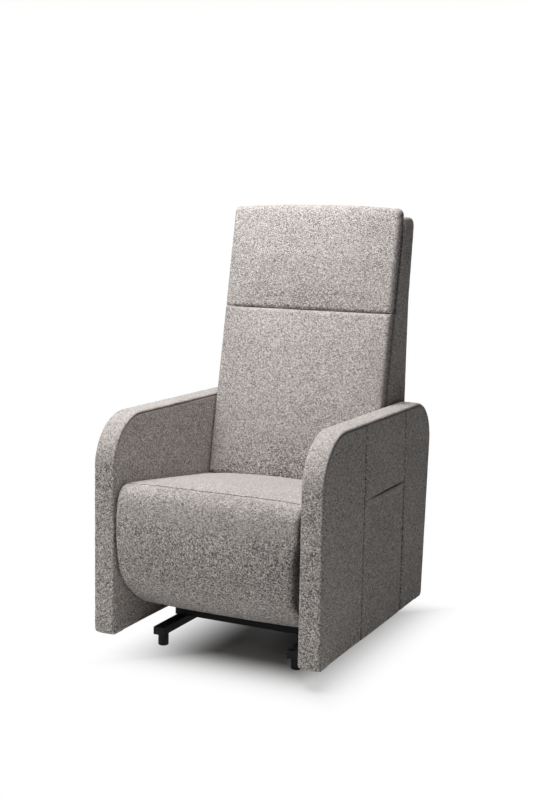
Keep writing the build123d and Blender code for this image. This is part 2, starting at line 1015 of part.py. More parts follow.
# Legrest
with BuildPart() as legrest_hinge_frame:
    legrest_lever_angle = -90 + legrest_angle / 2
    legrest_far = legrest_arm / cos(radians(legrest_angle / 2))
    with BuildSketch(side_plane(legrest_drive_x - lever_half)):
        disc(legrest_depth, legrest_height, legrest_tube_radius + tube_wall)
        with Locations(
            around(legrest_depth, legrest_height, legrest_far + plate, legrest_lever_angle)
        ):
            Circle(lever_end + tube_wall)
        make_hull()
        lever_slot(
            legrest_depth,
            legrest_height,
            legrest_lever_angle,
            legrest_arm - slot_end_play,
            legrest_far + slot_end_play,
            2 * (drive_pin_radius + legrest_play),
        )
    extrude(amount=2 * lever_half)
    for x in (-legrest_arm_x - plate, legrest_arm_x):
        with BuildSketch(side_plane(x)):
            disc(legrest_depth, legrest_height, legrest_tube_radius + tube_wall)
            disc(
                board_front + board_thickness + arm_strip / 2,
                board_top + arm_strip,
                arm_strip / 2,
            )
            make_hull()
            outline(
                side(board_front + board_thickness, board_foot + arm_strip),
                side(board_front + board_thickness + arm_strip, board_foot + arm_strip),
                side(board_front + board_thickness + arm_strip, board_top + arm_strip),
                side(board_front + board_thickness, board_top + arm_strip),
            )
        extrude(amount=plate)
    round_bar(
        legrest_depth, legrest_height, legrest_tube_radius, -legrest_tube_half, legrest_tube_half
    )
    for end in (-legrest_tube_half, legrest_tube_half - pin_bore):
        round_bar(
            legrest_depth, legrest_height, pin_radius + pin_fit, end, end + pin_bore, Mode.SUBTRACT
        )

with BuildPart() as legrest_board:
    block(
        -board_half,
        board_half,
        board_front,
        board_front + board_thickness,
        board_foot,
        board_top,
    )

with BuildPart() as legrest_pad:
    for x, share in pad_stations(seat_half):
        radius = barrel_radius + barrel_crown * share
        swell = front_bulge * share
        low = swell * low_share
        with BuildSketch(side_plane(x)):
            with BuildLine():
                lip = around(legrest_depth, legrest_height, radius, barrel_start)
                brow = around(legrest_depth, legrest_height, radius, barrel_end)
                top = around(
                    legrest_depth, legrest_height, radius, (barrel_start + barrel_end) / 2
                )
                hollow_lip = around(legrest_depth, legrest_height, barrel_hollow, barrel_start)
                hollow_front = around(legrest_depth, legrest_height, barrel_hollow, hollow_turn)
                hollow_foot = around(legrest_depth, legrest_height, barrel_hollow, hollow_end)
                knee = side(legrest_front - swell, legrest_height - knee_drop)
                shin = side(legrest_front + shin_depth - swell, legrest_height - shin_drop)
                calf = side(
                    legrest_front + calf_depth - low, legrest_height - calf_drop - low / 2
                )
                ankle = side(
                    legrest_front + ankle_depth - low / 2, legrest_height - ankle_drop - low
                )
                sole = side(legrest_front + sole_depth, legrest_height - sole_drop - low)
                toe = side(legrest_front + toe_depth, legrest_height - toe_drop - low / 3)
                ThreePointArc(lip, top, brow)
                ThreePointArc(brow, knee, shin)
                ThreePointArc(shin, calf, ankle)
                ThreePointArc(ankle, sole, toe)
                Polyline(
                    toe,
                    side(legrest_front + heel_depth, legrest_height - heel_drop),
                    side(board_front - soft_gap, board_foot - plate),
                    side(board_front - soft_gap, board_top - plate),
                    hollow_foot,
                )
                ThreePointArc(
                    hollow_foot,
                    around(
                        legrest_depth,
                        legrest_height,
                        barrel_hollow,
                        (hollow_end + hollow_turn) / 2,
                    ),
                    hollow_front,
                )
                ThreePointArc(
                    hollow_front,
                    around(
                        legrest_depth,
                        legrest_height,
                        barrel_hollow,
                        (hollow_turn + barrel_start) / 2,
                    ),
                    hollow_lip,
                )
                Line(hollow_lip, lip)
            make_face()
    loft()

# Back hinge on the carriage
with BuildPart() as back_hinge_plates:
    with BuildSketch(side_plane(hinge_plate_x)):
        disc(back_depth, back_height, hinge_plate_end)
        outline(
            side(frame_rear - 2 * hinge_plate_end, frame_top(frame_rear - 2 * hinge_plate_end)),
            side(frame_rear, frame_top(frame_rear)),
            side(back_depth + hinge_plate_end, back_height),
            side(back_depth - hinge_plate_end, back_height),
        )
        disc(back_depth, back_height, pin_radius + pin_fit, Mode.SUBTRACT)
    extrude(amount=plate)
    mirror(about=Plane.YZ)

with BuildPart() as back_hinge_pins:
    round_bar(
        back_depth,
        back_height,
        pin_radius,
        side_plate_x - pin_bore + plate + pin_end_gap,
        hinge_plate_x + plate + head_thickness,
    )
    round_bar(
        back_depth, back_height, collar_radius, side_plate_x + plate + collar_gap, hinge_plate_x
    )
    round_bar(
        back_depth,
        back_height,
        collar_radius,
        hinge_plate_x + plate,
        hinge_plate_x + plate + head_thickness,
    )
    mirror(about=Plane.YZ)

# Back drive on the carriage
with BuildPart() as back_motor:
    block(
        back_drive_x - back_motor_half,
        back_drive_x + back_motor_half,
        back_motor_front,
        back_motor_rear,
        back_axis_height - back_motor_below,
        back_axis_height + back_motor_above,
    )
    fillet(back_motor.edges().filter_by(Axis.Y), housing_radius)

with BuildPart() as back_drive_tube:
    long_bar(back_drive_x, back_axis_height, drive_tube_radius, back_motor_rear, back_tube_rear)
    long_bar(
        back_drive_x,
        back_axis_height,
        rod_radius + slide_fit,
        back_motor_rear,
        back_tube_rear,
        Mode.SUBTRACT,
    )

with BuildPart() as back_drive_rod:
    fork(back_drive_x, back_pin_depth, back_axis_height, -1)
    long_bar(
        back_drive_x,
        back_axis_height,
        rod_radius,
        back_rod_front,
        back_pin_depth - fork_length,
    )

# Back frame
with BuildPart() as back_hinge_frame:
    back_lever_angle = -90 + recline_angle / 2
    back_far = back_arm / cos(radians(recline_angle / 2))
    with BuildSketch(side_plane(back_drive_x - lever_half)):
        disc(back_depth, back_height, back_tube_radius + plate)
        with Locations(around(back_depth, back_height, back_far + tube_wall, back_lever_angle)):
            Circle(lever_end)
        make_hull()
        lever_slot(
            back_depth,
            back_height,
            back_lever_angle,
            back_arm - slot_end_play,
            back_far + slot_end_play,
            2 * (drive_pin_radius + back_play),
        )
    extrude(amount=2 * lever_half)
    for x in (-side_plate_x - plate, side_plate_x):
        with BuildSketch(side_plane(x)):
            disc(back_depth, back_height, hinge_plate_end)
            for rise in side_plate_rises:
                with Locations(behind(frame_gap + upright_thickness / 2, back_height + rise)):
                    Circle(side_plate_end)
            make_hull()
        extrude(amount=plate)
    round_bar(back_depth, back_height, back_tube_radius, -side_plate_x, side_plate_x)
    for end in (-side_plate_x - plate, side_plate_x + plate - pin_bore):
        round_bar(
            back_depth, back_height, pin_radius + pin_fit, end, end + pin_bore, Mode.SUBTRACT
        )

with BuildPart() as back_upright_right:
    with BuildSketch(side_plane(upright_x)):
        outline(
            behind(frame_gap, upright_foot),
            behind(frame_gap + upright_thickness, upright_foot),
            behind(frame_gap + upright_thickness, upright_top),
            behind(frame_gap, upright_top),
        )
    extrude(amount=upright_width)
    for share in cleat_shares:
        foot = upright_foot + share * (upright_top - upright_foot)
        with BuildSketch(side_plane(side_plate_x)):
            outline(
                behind(frame_gap + cleat_setback, foot),
                behind(frame_gap + upright_thickness, foot),
                behind(frame_gap + upright_thickness, foot + rail_tall),
                behind(frame_gap + cleat_setback, foot + rail_tall),
            )
        extrude(amount=back_half - shell_wall - soft_gap - side_plate_x)

with BuildPart() as back_upright_left:
    mirror(back_upright_right.part, about=Plane.YZ)

with BuildPart() as back_cross_rails:
    for foot in rail_heights:
        with BuildSketch(side_plane(-upright_x)):
            outline(
                behind(frame_gap + strap_thickness, foot),
                behind(frame_gap + strap_thickness + rail_thickness, foot),
                behind(frame_gap + strap_thickness + rail_thickness, foot + rail_tall),
                behind(frame_gap + strap_thickness, foot + rail_tall),
            )
        extrude(amount=2 * upright_x)

with BuildPart() as back_straps:
    for column in (-1, 0, 1):
        with BuildSketch(side_plane(column * back_strap_pitch - strap_width / 2)):
            outline(
                behind(frame_gap, rail_heights[0] + plate),
                behind(frame_gap + strap_thickness, rail_heights[0] + plate),
                behind(frame_gap + strap_thickness, rail_heights[1] + rail_tall - plate),
                behind(frame_gap, rail_heights[1] + rail_tall - plate),
            )
        extrude(amount=strap_width)

# Back shell
with BuildPart() as back_shell:
    with BuildSketch(side_plane(-back_half)):
        with BuildLine():
            FilletPolyline(
                behind(back_pad_thickness + shell_gap, shell_foot),
                behind(back_pad_thickness + shell_gap, shell_top),
                side(back_depth + shell_top_setback, shell_top),
                side(back_depth + shell_middle_setback, shell_middle_height),
                side(back_depth + shell_low_setback, shell_low_height),
                side(back_depth + shell_foot_setback, shell_foot),
                radius=(0, shell_front_round, shell_top_radius, shell_bend, shell_bend, 0),
                close=True,
            )
        make_face()
    extrude(amount=2 * back_half)
    shell_rims = back_shell.edges().group_by(Axis.X)
    fillet(
        [
            edge
            for edge in shell_rims[0] + shell_rims[-1]
            if edge.center().Y > side(back_depth + shell_foot_setback - shell_top_radius, 0)[0]
        ],
        shell_edge_radius,
    )
    with BuildSketch(side_plane(shell_wall - back_half)):
        outline(
            behind(0, shell_foot - shell_back_wall),
            behind(0, shell_top - shell_back_wall),
            side(
                back_depth + shell_top_setback - shell_top_radius, shell_top - shell_back_wall
            ),
            side(
                back_depth + shell_middle_setback - shell_back_wall, shell_middle_height
            ),
            side(back_depth + shell_low_setback - shell_back_wall, shell_low_height),
            side(
                back_depth + shell_foot_setback - shell_back_wall, shell_foot - shell_back_wall
            ),
        )
    extrude(amount=2 * (back_half - shell_wall), mode=Mode.SUBTRACT)

# Back cushions
with BuildPart() as lower_back_pad:
    for x, share in pad_stations(back_half):
        with BuildSketch(side_plane(x)):
            with BuildLine():
                back_outline(
                    back_pad_foot,
                    headrest_seam - seam_half,
                    back_pad_thickness,
                    back_crown * share,
                    0,
                )
            make_face()
    loft()
    back_rims = lower_back_pad.edges().group_by(Axis.X)
    fillet(back_rims[0] + back_rims[-1], pad_edge_radius)
    round_bar(
        headrest_rod_depth,
        headrest_seam,
        headrest_groove,
        -overall_width,
        overall_width,
        Mode.SUBTRACT,
    )
    for x in (-hanger_x - plate, hanger_x):
        block(
            x - cut_gap,
            x + plate + cut_gap,
            headrest_rod_depth,
            overall_depth,
            headrest_seam - headrest_groove,
            overall_height,
            mode=Mode.SUBTRACT,
        )

with BuildPart() as headrest_pad:
    for x, share in pad_stations(back_half):
        with BuildSketch(side_plane(x)):
            with BuildLine():
                back_outline(
                    headrest_seam + seam_half,
                    overall_height,
                    back_pad_thickness - headrest_board_thickness - soft_gap,
                    back_crown * share,
                    back_crown * share / 2,
                )
            make_face()
    loft()
    head_rims = headrest_pad.edges().group_by(Axis.X)
    fillet(head_rims[0] + head_rims[-1], pad_edge_radius)
    round_bar(
        headrest_rod_depth,
        headrest_seam,
        headrest_groove,
        -overall_width,
        overall_width,
        Mode.SUBTRACT,
    )
    for x in (-sleeve_outer, sleeve_inner):
        block(
            x - cut_gap,
            x + sleeve_outer - sleeve_inner + cut_gap,
            headrest_rod_depth - sleeve_radius,
            overall_depth,
            0,
            leaf_top + cut_gap,
            mode=Mode.SUBTRACT,
        )
    for x in (-hanger_x - plate, hanger_x):
        block(
            x - cut_gap,
            x + plate + cut_gap,
            headrest_rod_depth,
            overall_depth,
            0,
            hanger_top + cut_gap,
            mode=Mode.SUBTRACT,
        )

# Headrest hinge
with BuildPart() as headrest_rod:
    round_bar(
        headrest_rod_depth,
        headrest_seam,
        headrest_rod_radius,
        -headrest_half,
        headrest_half,
    )
    middle_rail_top = rail_heights[1] + rail_tall
    for x in (-hanger_x - plate, hanger_x):
        with BuildSketch(side_plane(x)):
            disc(headrest_rod_depth, headrest_seam, sleeve_radius)
            with Locations(behind(frame_gap + sleeve_radius, headrest_seam)):
                Circle(sleeve_radius)
            make_hull()
            outline(
                behind(frame_gap + strap_thickness, middle_rail_top),
                behind(frame_gap + strap_thickness + sleeve_radius, middle_rail_top),
                behind(frame_gap + strap_thickness + sleeve_radius, headrest_seam),
                behind(frame_gap + strap_thickness, headrest_seam),
            )
        extrude(amount=plate)

with BuildPart() as headrest_hinges:
    leaf_rear = back_pad_thickness - headrest_board_thickness
    leaf_foot = headrest_board_foot + leaf_thickness
    for x in (-sleeve_outer, sleeve_inner):
        with BuildSketch(side_plane(x)):
            disc(headrest_rod_depth, headrest_seam, sleeve_radius)
            with Locations(behind(leaf_rear - leaf_thickness, leaf_foot)):
                Circle(leaf_thickness / 2)
            make_hull()
            outline(
                behind(leaf_rear - leaf_thickness, leaf_foot),
                behind(leaf_rear, leaf_foot),
                behind(leaf_rear, leaf_top),
                behind(leaf_rear - leaf_thickness, leaf_top),
            )
            disc(headrest_rod_depth, headrest_seam, headrest_rod_radius + pin_fit, Mode.SUBTRACT)
        extrude(amount=sleeve_outer - sleeve_inner)

with BuildPart() as headrest_board:
    with BuildSketch(side_plane(-headrest_half)):
        outline(
            behind(back_pad_thickness - headrest_board_thickness, headrest_board_foot),
            behind(back_pad_thickness, headrest_board_foot),
            behind(back_pad_thickness, headrest_board_top),
            behind(back_pad_thickness - headrest_board_thickness, headrest_board_top),
        )
    extrude(amount=2 * headrest_half)

# Export
pieces = {
    "base_rail_left": base_rail_left,
    "base_rail_right": base_rail_right,
    "rail_end_caps": rail_end_caps,
    "base_feet": base_feet,
    "front_cross_bar": front_cross_bar,
    "rear_cross_bar": rear_cross_bar,
    "lift_lugs": lift_lugs,
    "lift_pins": lift_pins,
    "lift_motor": lift_motor,
    "lift_drive_tube": lift_drive_tube,
    "lift_drive_rod": lift_drive_rod,
    "lower_link_left": lower_link_left,
    "lower_link_right": lower_link_right,
    "lift_torque_tube": lift_torque_tube,
    "upper_link_left": upper_link_left,
    "upper_link_right": upper_link_right,
    "carriage_plate_left": carriage_plate_left,
    "carriage_plate_right": carriage_plate_right,
    "carriage_tube": carriage_tube,
    "carriage_pins": carriage_pins,
    "seat_member_left": seat_member_left,
    "seat_member_right": seat_member_right,
    "seat_cross_members": seat_cross_members,
    "seat_straps": seat_straps,
    "seat_pad": seat_pad,
    "arm_band_left": arm_band_left,
    "arm_band_right": arm_band_right,
    "arm_core_left": arm_core_left,
    "arm_core_right": arm_core_right,
    "arm_inner_pad_left": arm_inner_pad_left,
    "arm_inner_pad_right": arm_inner_pad_right,
    "arm_outer_pad_left": arm_outer_pad_left,
    "arm_outer_pad_right": arm_outer_pad_right,
    "side_pocket": side_pocket,
    "arm_spacers": arm_spacers,
    "arm_bolts": arm_bolts,
    "legrest_brackets": legrest_brackets,
    "legrest_pins": legrest_pins,
    "legrest_motor": legrest_motor,
    "legrest_drive_tube": legrest_drive_tube,
    "legrest_drive_rod": legrest_drive_rod,
    "legrest_hinge_frame": legrest_hinge_frame,
    "legrest_board": legrest_board,
    "legrest_pad": legrest_pad,
    "back_hinge_plates": back_hinge_plates,
    "back_hinge_pins": back_hinge_pins,
    "back_motor": back_motor,
    "back_drive_tube": back_drive_tube,
    "back_drive_rod": back_drive_rod,
    "back_hinge_frame": back_hinge_frame,
    "back_upright_left": back_upright_left,
    "back_upright_right": back_upright_right,
    "back_cross_rails": back_cross_rails,
    "back_straps": back_straps,
    "back_shell": back_shell,
    "lower_back_pad": lower_back_pad,
    "headrest_rod": headrest_rod,
    "headrest_hinges": headrest_hinges,
    "headrest_board": headrest_board,
    "headrest_pad": headrest_pad,
}

os.makedirs("parts", exist_ok=True)
for name, piece in pieces.items():
    piece.part.label = name
    export_step(piece.part, f"parts/{name}.step")
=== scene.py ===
import json
import math

import bmesh
import bpy
import numpy as np
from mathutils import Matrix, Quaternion, Vector


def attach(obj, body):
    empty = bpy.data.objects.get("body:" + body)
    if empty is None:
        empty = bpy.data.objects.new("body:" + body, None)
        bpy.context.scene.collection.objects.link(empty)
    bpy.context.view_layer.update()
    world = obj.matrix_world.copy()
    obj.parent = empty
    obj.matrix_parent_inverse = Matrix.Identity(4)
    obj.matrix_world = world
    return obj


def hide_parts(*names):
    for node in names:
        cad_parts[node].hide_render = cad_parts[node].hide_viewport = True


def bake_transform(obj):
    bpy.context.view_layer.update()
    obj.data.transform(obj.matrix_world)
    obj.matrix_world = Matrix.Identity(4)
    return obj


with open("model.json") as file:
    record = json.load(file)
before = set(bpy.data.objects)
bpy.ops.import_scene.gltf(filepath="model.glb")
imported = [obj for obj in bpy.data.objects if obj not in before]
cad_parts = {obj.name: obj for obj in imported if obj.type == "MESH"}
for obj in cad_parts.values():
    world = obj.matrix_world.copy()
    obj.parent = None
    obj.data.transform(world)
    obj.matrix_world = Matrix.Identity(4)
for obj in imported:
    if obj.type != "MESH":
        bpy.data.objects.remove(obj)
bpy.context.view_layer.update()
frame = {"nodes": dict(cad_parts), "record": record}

# Lengths are metres. Side points are (depth behind the arm fronts, height).
# The arm fronts lie this far before the middle of the chair
FRONT = -0.3648

# Arms
ARM_MID = 0.280
ARM_HALF = 0.028
ARM_TOP = 0.604
ARM_FOOT = 0.052
ARM_FRONT_ROUND = 0.130
ARM_REAR_ROUND = 0.110
ARM_FOOT_ROUND = 0.014
ARM_LEAST_ROUND = 0.003
ARM_REAR_PEAK = 0.749
ARM_REAR_FOOT = 0.713
BAND_TUCK = 0.045
BAND_EDGE = 0.0046
BAND_CROWN = 0.0014
BAND_DEPTH = 0.016
BAND_WAVE = 0.0005
SEAM_INSET = 0.0062
SEAM_DIP = 0.0045
PANEL_RAISE = 0.0015
PANEL_STEP = 0.009
PANEL_MIDDLE = 0.300
PANEL_BACK = 0.0075
PANEL_CROWN = 0.0012
PANEL_WAVE = 0.0006
RIM_ROUND = 0.0055
SIDE_SEAMS = (0.258, 0.540)
SEAM_DEPTH = 0.0056
SEAM_WIDTH = 0.0032
SEAM_PUFF = 0.0007
SOLE_INSET = 0.0085
SOLE_RAISE = 0.003
SOLE_THICK = 0.002
SOLE_SLACK = 0.001

# Side pocket
POCKET_TOP = 0.4098
POCKET_SAG = 0.0028
POCKET_LIP = 0.4105
POCKET_RECESS = 0.0095
POCKET_BACK = 0.0062
POCKET_CLEAR = 0.0016
POCKET_STEP = 0.008
HEM = 0.022

# Cushions
CUSHION_STEP = 0.008
SIM_FRAMES = 20
PRESSURE = 4.0
SWELL_CAP = 0.022
SWELL_SHARE = 0.25
SWELL_ROUNDS = 10
SIDE_LIMIT = 0.2495

# Seat and legrest: the legrest's roll turns round its hinge, below the seat's lip
HINGE = (0.046, 0.385)
BARREL = 0.046
BARREL_CROWN = 0.016
SEAT_CROWN = 0.018
SEAT_REAR = 0.479
LIP_SIDE = 91
LIP_REACH = 22
LIP_GAP = 0.0006
LIP_THICK = 0.0006
LEGREST_CROWN = 0.012
LEGREST_HOLLOW = 0.031
LEGREST_REAR = 0.0695
END_TAPER = 0.011

# Back cushions: offsets are depths behind a leaning front line
LEAN = 11
LEAN_DEPTH = 0.487
LEAN_HEIGHT = 0.39598
BACK_CROWN = 0.012
BACK_FOOT = 0.377
BACK_TOP = 0.8447
BACK_REAR = 0.0395
HEADREST_FOOT = 0.8458
HEADREST_TOP = 1.120
HEADREST_RISE = 0.010
HEADREST_REAR = 0.029
HEADREST_HEM = 0.0298
SEAM_LIP = 0.0045
ROD_LIP = 0.0058
EDGE_GAP = 0.0015

# Back shell and the panel sewn on its rear
SHELL_VOXEL = 0.005
SHELL_ROUNDS = 4
SHELL_WIDEN = 1.0145
SHELL_RISE = 0.006
SHELL_REAR_HEIGHTS = (0.332, 0.6008, 0.875, 1.0647)
SHELL_REAR_PLACES = (0.3372, 0.3432, 0.3478, 0.3715)
REAR_HALF = 0.221
REAR_FOOT = 0.347
REAR_TOP = 1.052
REAR_STEP = 0.010
REAR_CLEAR = 0.0012
REAR_THICK = 0.0030
REAR_SUNK = 0.0008
REAR_ROUND = 0.006

# Slack cloth below the gap between the seat and the back
GUSSET_HALF = 0.240
GUSSET_THICK = 0.0012
GUSSET_SLACK = 0.0008
GUSSET_LINE = (
    (0.4798, 0.3590),
    (0.4828, 0.3505),
    (0.4888, 0.3466),
    (0.4948, 0.3505),
    (0.4990, 0.3590),
    (0.5020, 0.3745),
)

# Studio
FLOOR_HALF = 6.0
SHADOW_MIDDLE = 0.05
SHADOW_HALF_WIDTH = 0.26
SHADOW_HALF_DEPTH = 0.37
CAMERA_PLACE = (1.4286, -2.9952, 1.0988)
CAMERA_AIM = (0.0972, -0.2333, 0.6597)
CAMERA_LENS = 58.08
CAMERA_ROLL = 1.02


# Meshes
def new_object(name, verts, faces):
    """A mesh object in the shared frame, with outward faces and smooth shading."""
    mesh = bpy.data.meshes.new(name)
    mesh.from_pydata([tuple(v) for v in verts], [], faces)
    work = bmesh.new()
    work.from_mesh(mesh)
    bmesh.ops.recalc_face_normals(work, faces=work.faces)
    work.to_mesh(mesh)
    work.free()
    mesh.polygons.foreach_set("use_smooth", [True] * len(mesh.polygons))
    piece = bpy.data.objects.new(name, mesh)
    bpy.context.scene.collection.objects.link(piece)
    return piece


def coordinates(mesh):
    """Vertex places of a mesh as an array."""
    flat = np.empty(len(mesh.vertices) * 3)
    mesh.vertices.foreach_get("co", flat)
    return flat.reshape(-1, 3)


def normals(mesh):
    """Vertex normals of a mesh as an array."""
    flat = np.empty(len(mesh.vertices) * 3)
    mesh.vertex_normals.foreach_get("vector", flat)
    return flat.reshape(-1, 3)


def edges_of(mesh):
    """Edges of a mesh as an array of vertex pairs."""
    flat = np.empty(len(mesh.edges) * 2, dtype=np.int64)
    mesh.edges.foreach_get("vertices", flat)
    return flat.reshape(-1, 2)


def set_coordinates(mesh, places):
    """Moves a mesh's vertices."""
    mesh.vertices.foreach_set("co", places.astype(np.float32).ravel())
    mesh.update()


def set_values(piece, name, values):
    """Stores one number at each vertex, for the fabric to read."""
    piece.data.attributes.new(name, "FLOAT", "POINT").data.foreach_set("value", values)


def relax(places, edges, rounds, share=0.5):
    """Draws each vertex towards the middle of its neighbours."""
    first, last = edges[:, 0], edges[:, 1]
    degree = np.bincount(edges.ravel(), minlength=len(places))[:, None]
    for _ in range(rounds):
        total = np.zeros_like(places)
        np.add.at(total, first, places[last])
        np.add.at(total, last, places[first])
        places = places + share * (total / degree - places)
    return places


def sheet_solid(name, grid, back, rings=1):
    """Closed piece from a grid of front points and a matching grid of back points."""
    rows, columns = grid.shape[:2]
    front_points = grid.reshape(-1, 3)
    back_points = back.reshape(-1, 3)
    base = rows * columns
    faces = []
    for i in range(rows - 1):
        for j in range(columns - 1):
            a = i * columns + j
            b, c, d = a + 1, a + columns + 1, a + columns
            faces.append((a, b, c, d))
            faces.append((base + d, base + c, base + b, base + a))
    ring = list(range(columns))
    ring += [i * columns + columns - 1 for i in range(1, rows)]
    ring += [(rows - 1) * columns + j for j in range(columns - 2, -1, -1)]
    ring += [i * columns for i in range(rows - 2, 0, -1)]
    verts = [front_points, back_points]
    levels = [ring]
    for k in range(1, rings):
        share = k / rings
        levels.append(list(range(2 * base + (k - 1) * len(ring), 2 * base + k * len(ring))))
        verts.append(front_points[ring] * (1 - share) + back_points[ring] * share)
    levels.append([base + r for r in ring])
    for upper, lower in zip(levels, levels[1:]):
        for k in range(len(ring)):
            following = (k + 1) % len(ring)
            faces.append((upper[k], lower[k], lower[following], upper[following]))
    return new_object(name, np.vstack(verts), faces)


# Curves
def smooth_step(low, high, value):
    """0 below low, 1 above high, with a smooth turn between."""
    share = np.clip((value - low) / (high - low), 0, 1)
    return share * share * (3 - 2 * share)


def bell(distance, width):
    """A smooth bump that is 1 where the distance is 0."""
    return np.exp(-((distance / width) ** 2))


def quarter_round(share):
    """Drop of a quarter round: 1 at its edge, where the share is 0, and 0 at its top."""
    return 1 - np.sqrt(1 - (1 - share) ** 2)


def zone(start, end, step, fine=0.001):
    """Shares from 0 to 1 across a zone, close together at its ends."""
    width = end - start
    ease = [0.0]
    gap = fine
    while ease[-1] + gap < width / 2 and gap < step:
        ease.append(ease[-1] + gap)
        gap *= 1.35
    middle = np.linspace(ease[-1], width - ease[-1], max(int((width - 2 * ease[-1]) / step), 1) + 1)
    places = ease[:-1] + list(middle) + [width - e for e in reversed(ease[:-1])]
    return np.array(places) / width


def travel(points):
    """Distance along a line at each of its points."""
    return np.concatenate([[0], np.cumsum(np.linalg.norm(np.diff(points, axis=0), axis=1))])


def outward_of(points):
    """Normals of a line, to the left of its run."""
    along = np.gradient(points, axis=0)
    along /= np.maximum(np.linalg.norm(along, axis=1), 1e-12)[:, None]
    return np.stack([-along[:, 1], along[:, 0]], axis=1)


def even(points, count):
    """A line as a count of evenly spaced points."""
    run = travel(points)
    places = np.linspace(0, run[-1], count)
    return np.stack([np.interp(places, run, points[:, k]) for k in (0, 1)], axis=1)


def spaced(points, step):
    """A line's points with its long runs divided."""
    out = [points[0]]
    for first, last in zip(points, points[1:]):
        count = max(int(np.linalg.norm(last - first) / step), 1)
        for i in range(1, count + 1):
            out.append(first + (last - first) * i / count)
    return np.array(out)


def rounded(corners, radii, step):
    """Points along an open line with its corners rounded."""
    points = [np.array(corners[0])]
    for before, corner, after, radius in zip(corners, corners[1:], corners[2:], radii):
        before, corner, after = (np.array(p) for p in (before, corner, after))
        back = (before - corner) / np.linalg.norm(before - corner)
        onward = (after - corner) / np.linalg.norm(after - corner)
        half = math.acos(np.clip(back @ onward, -1, 1)) / 2
        reach = radius / math.tan(half)
        middle = corner + (back + onward) / np.linalg.norm(back + onward) * radius / math.sin(half)
        first = corner + back * reach - middle
        last = corner + onward * reach - middle
        turn = math.pi - 2 * half
        spread = math.sin(turn)
        steps = max(int(turn * radius / step), 12)
        for i in range(steps + 1):
            share = i / steps
            points.append(
                middle
                + first * math.sin((1 - share) * turn) / spread
                + last * math.sin(share * turn) / spread
            )
    points.append(np.array(corners[-1]))
    return np.array(points)


def smooth_line(points, share=12):
    """A smooth curve through points."""
    points = np.array(points)
    padded = np.vstack([2 * points[0] - points[1], points, 2 * points[-1] - points[-2]])
    out = []
    for a, b, c, d in zip(padded, padded[1:], padded[2:], padded[3:]):
        for t in np.linspace(0, 1, share, endpoint=False):
            out.append(
                0.5 * (2 * b + (c - a) * t + (2 * a - 5 * b + 4 * c - d) * t * t
                       + (3 * b - a - 3 * c + d) * t ** 3)
            )
    out.append(points[-1])
    return np.array(out)


def hinge_arc(radius, start, end, steps=16):
    """Side points round the legrest hinge, by angles from the rear upwards."""
    turns = np.radians(np.linspace(start, end, steps))
    return np.stack([HINGE[0] + radius * np.cos(turns), HINGE[1] + radius * np.sin(turns)], axis=1)


def edge_distance(points, line):
    """Distance of each point from a closed line."""
    best = np.full(len(points), np.inf)
    closed = np.vstack([line, line[:1]])
    for first, last in zip(closed, closed[1:]):
        run = last - first
        share = np.clip(((points - first) @ run) / max(run @ run, 1e-12), 0, 1)
        best = np.minimum(best, np.linalg.norm(points - first - share[:, None] * run, axis=1))
    return best


# Material nodes
def material(name):
    """An empty node material with its shader and output."""
    mat = bpy.data.materials.new(name)
    mat.use_nodes = True
    tree = mat.node_tree
    tree.nodes.clear()
    shader = tree.nodes.new("ShaderNodeBsdfPrincipled")
    output = tree.nodes.new("ShaderNodeOutputMaterial")
    tree.links.new(shader.outputs["BSDF"], output.inputs["Surface"])
    return mat, tree, shader


def give(tree, socket, value):
    """Sets an input to a value, or joins it to a socket."""
    if isinstance(value, bpy.types.NodeSocket):
        tree.links.new(value, socket)
    else:
        socket.default_value = value


def node(tree, kind, inputs=None, **settings):
    """A node with its settings, its inputs given as values or sockets."""
    made = tree.nodes.new(kind)
    for key, value in settings.items():
        setattr(made, key, value)
    for key, value in (inputs or {}).items():
        give(tree, made.inputs[key], value)
    return made


def maths(tree, operation, first, second):
    """Result of a sum on two values or sockets."""
    return node(tree, "ShaderNodeMath", {0: first, 1: second}, operation=operation).outputs[0]


def weighted(tree, parts):
    """Sum of sockets, each times its weight."""
    terms = [maths(tree, "MULTIPLY", socket, weight) for socket, weight in parts]
    total = terms[0]
    for term in terms[1:]:
        total = maths(tree, "ADD", total, term)
    return total


def ramp(tree, factor, stops):
    """Colour of a ramp with stops of (place, colour)."""
    made = node(tree, "ShaderNodeValToRGB", {"Fac": factor})
    elements = made.color_ramp.elements
    while len(elements) < len(stops):
        elements.new(0.5)
    for element, (place, colour) in zip(elements, stops):
        element.position = place
        element.color = (*colour, 1)
    return made.outputs["Color"]


def noise(tree, vector, scale, detail=2.0, roughness=0.5):
    """Noise by place, about 0 to 1."""
    inputs = {"Vector": vector, "Scale": scale, "Detail": detail, "Roughness": roughness}
    return node(tree, "ShaderNodeTexNoise", inputs).outputs["Fac"]


def frame_place(tree, scale=(1, 1, 1)):
    """Place in the shared frame, stretched by a scale."""
    coord = node(tree, "ShaderNodeTexCoord").outputs["Object"]
    return node(tree, "ShaderNodeMapping", {"Vector": coord, "Scale": scale}).outputs["Vector"]


def between(tree, factor, low, high):
    """A factor of 0 to 1 brought to a range."""
    inputs = {"Value": factor, "To Min": low, "To Max": high}
    return node(tree, "ShaderNodeMapRange", inputs).outputs[0]


def bumped(tree, height, strength, distance):
    """Normal of a bumped surface."""
    inputs = {"Strength": strength, "Distance": distance, "Height": height}
    return node(tree, "ShaderNodeBump", inputs).outputs["Normal"]


def surface(tree, shader, colour, normal, rough):
    """Gives a shader its colour, its normal and its roughness."""
    give(tree, shader.inputs["Base Color"], colour)
    give(tree, shader.inputs["Normal"], normal)
    give(tree, shader.inputs["Roughness"], rough)


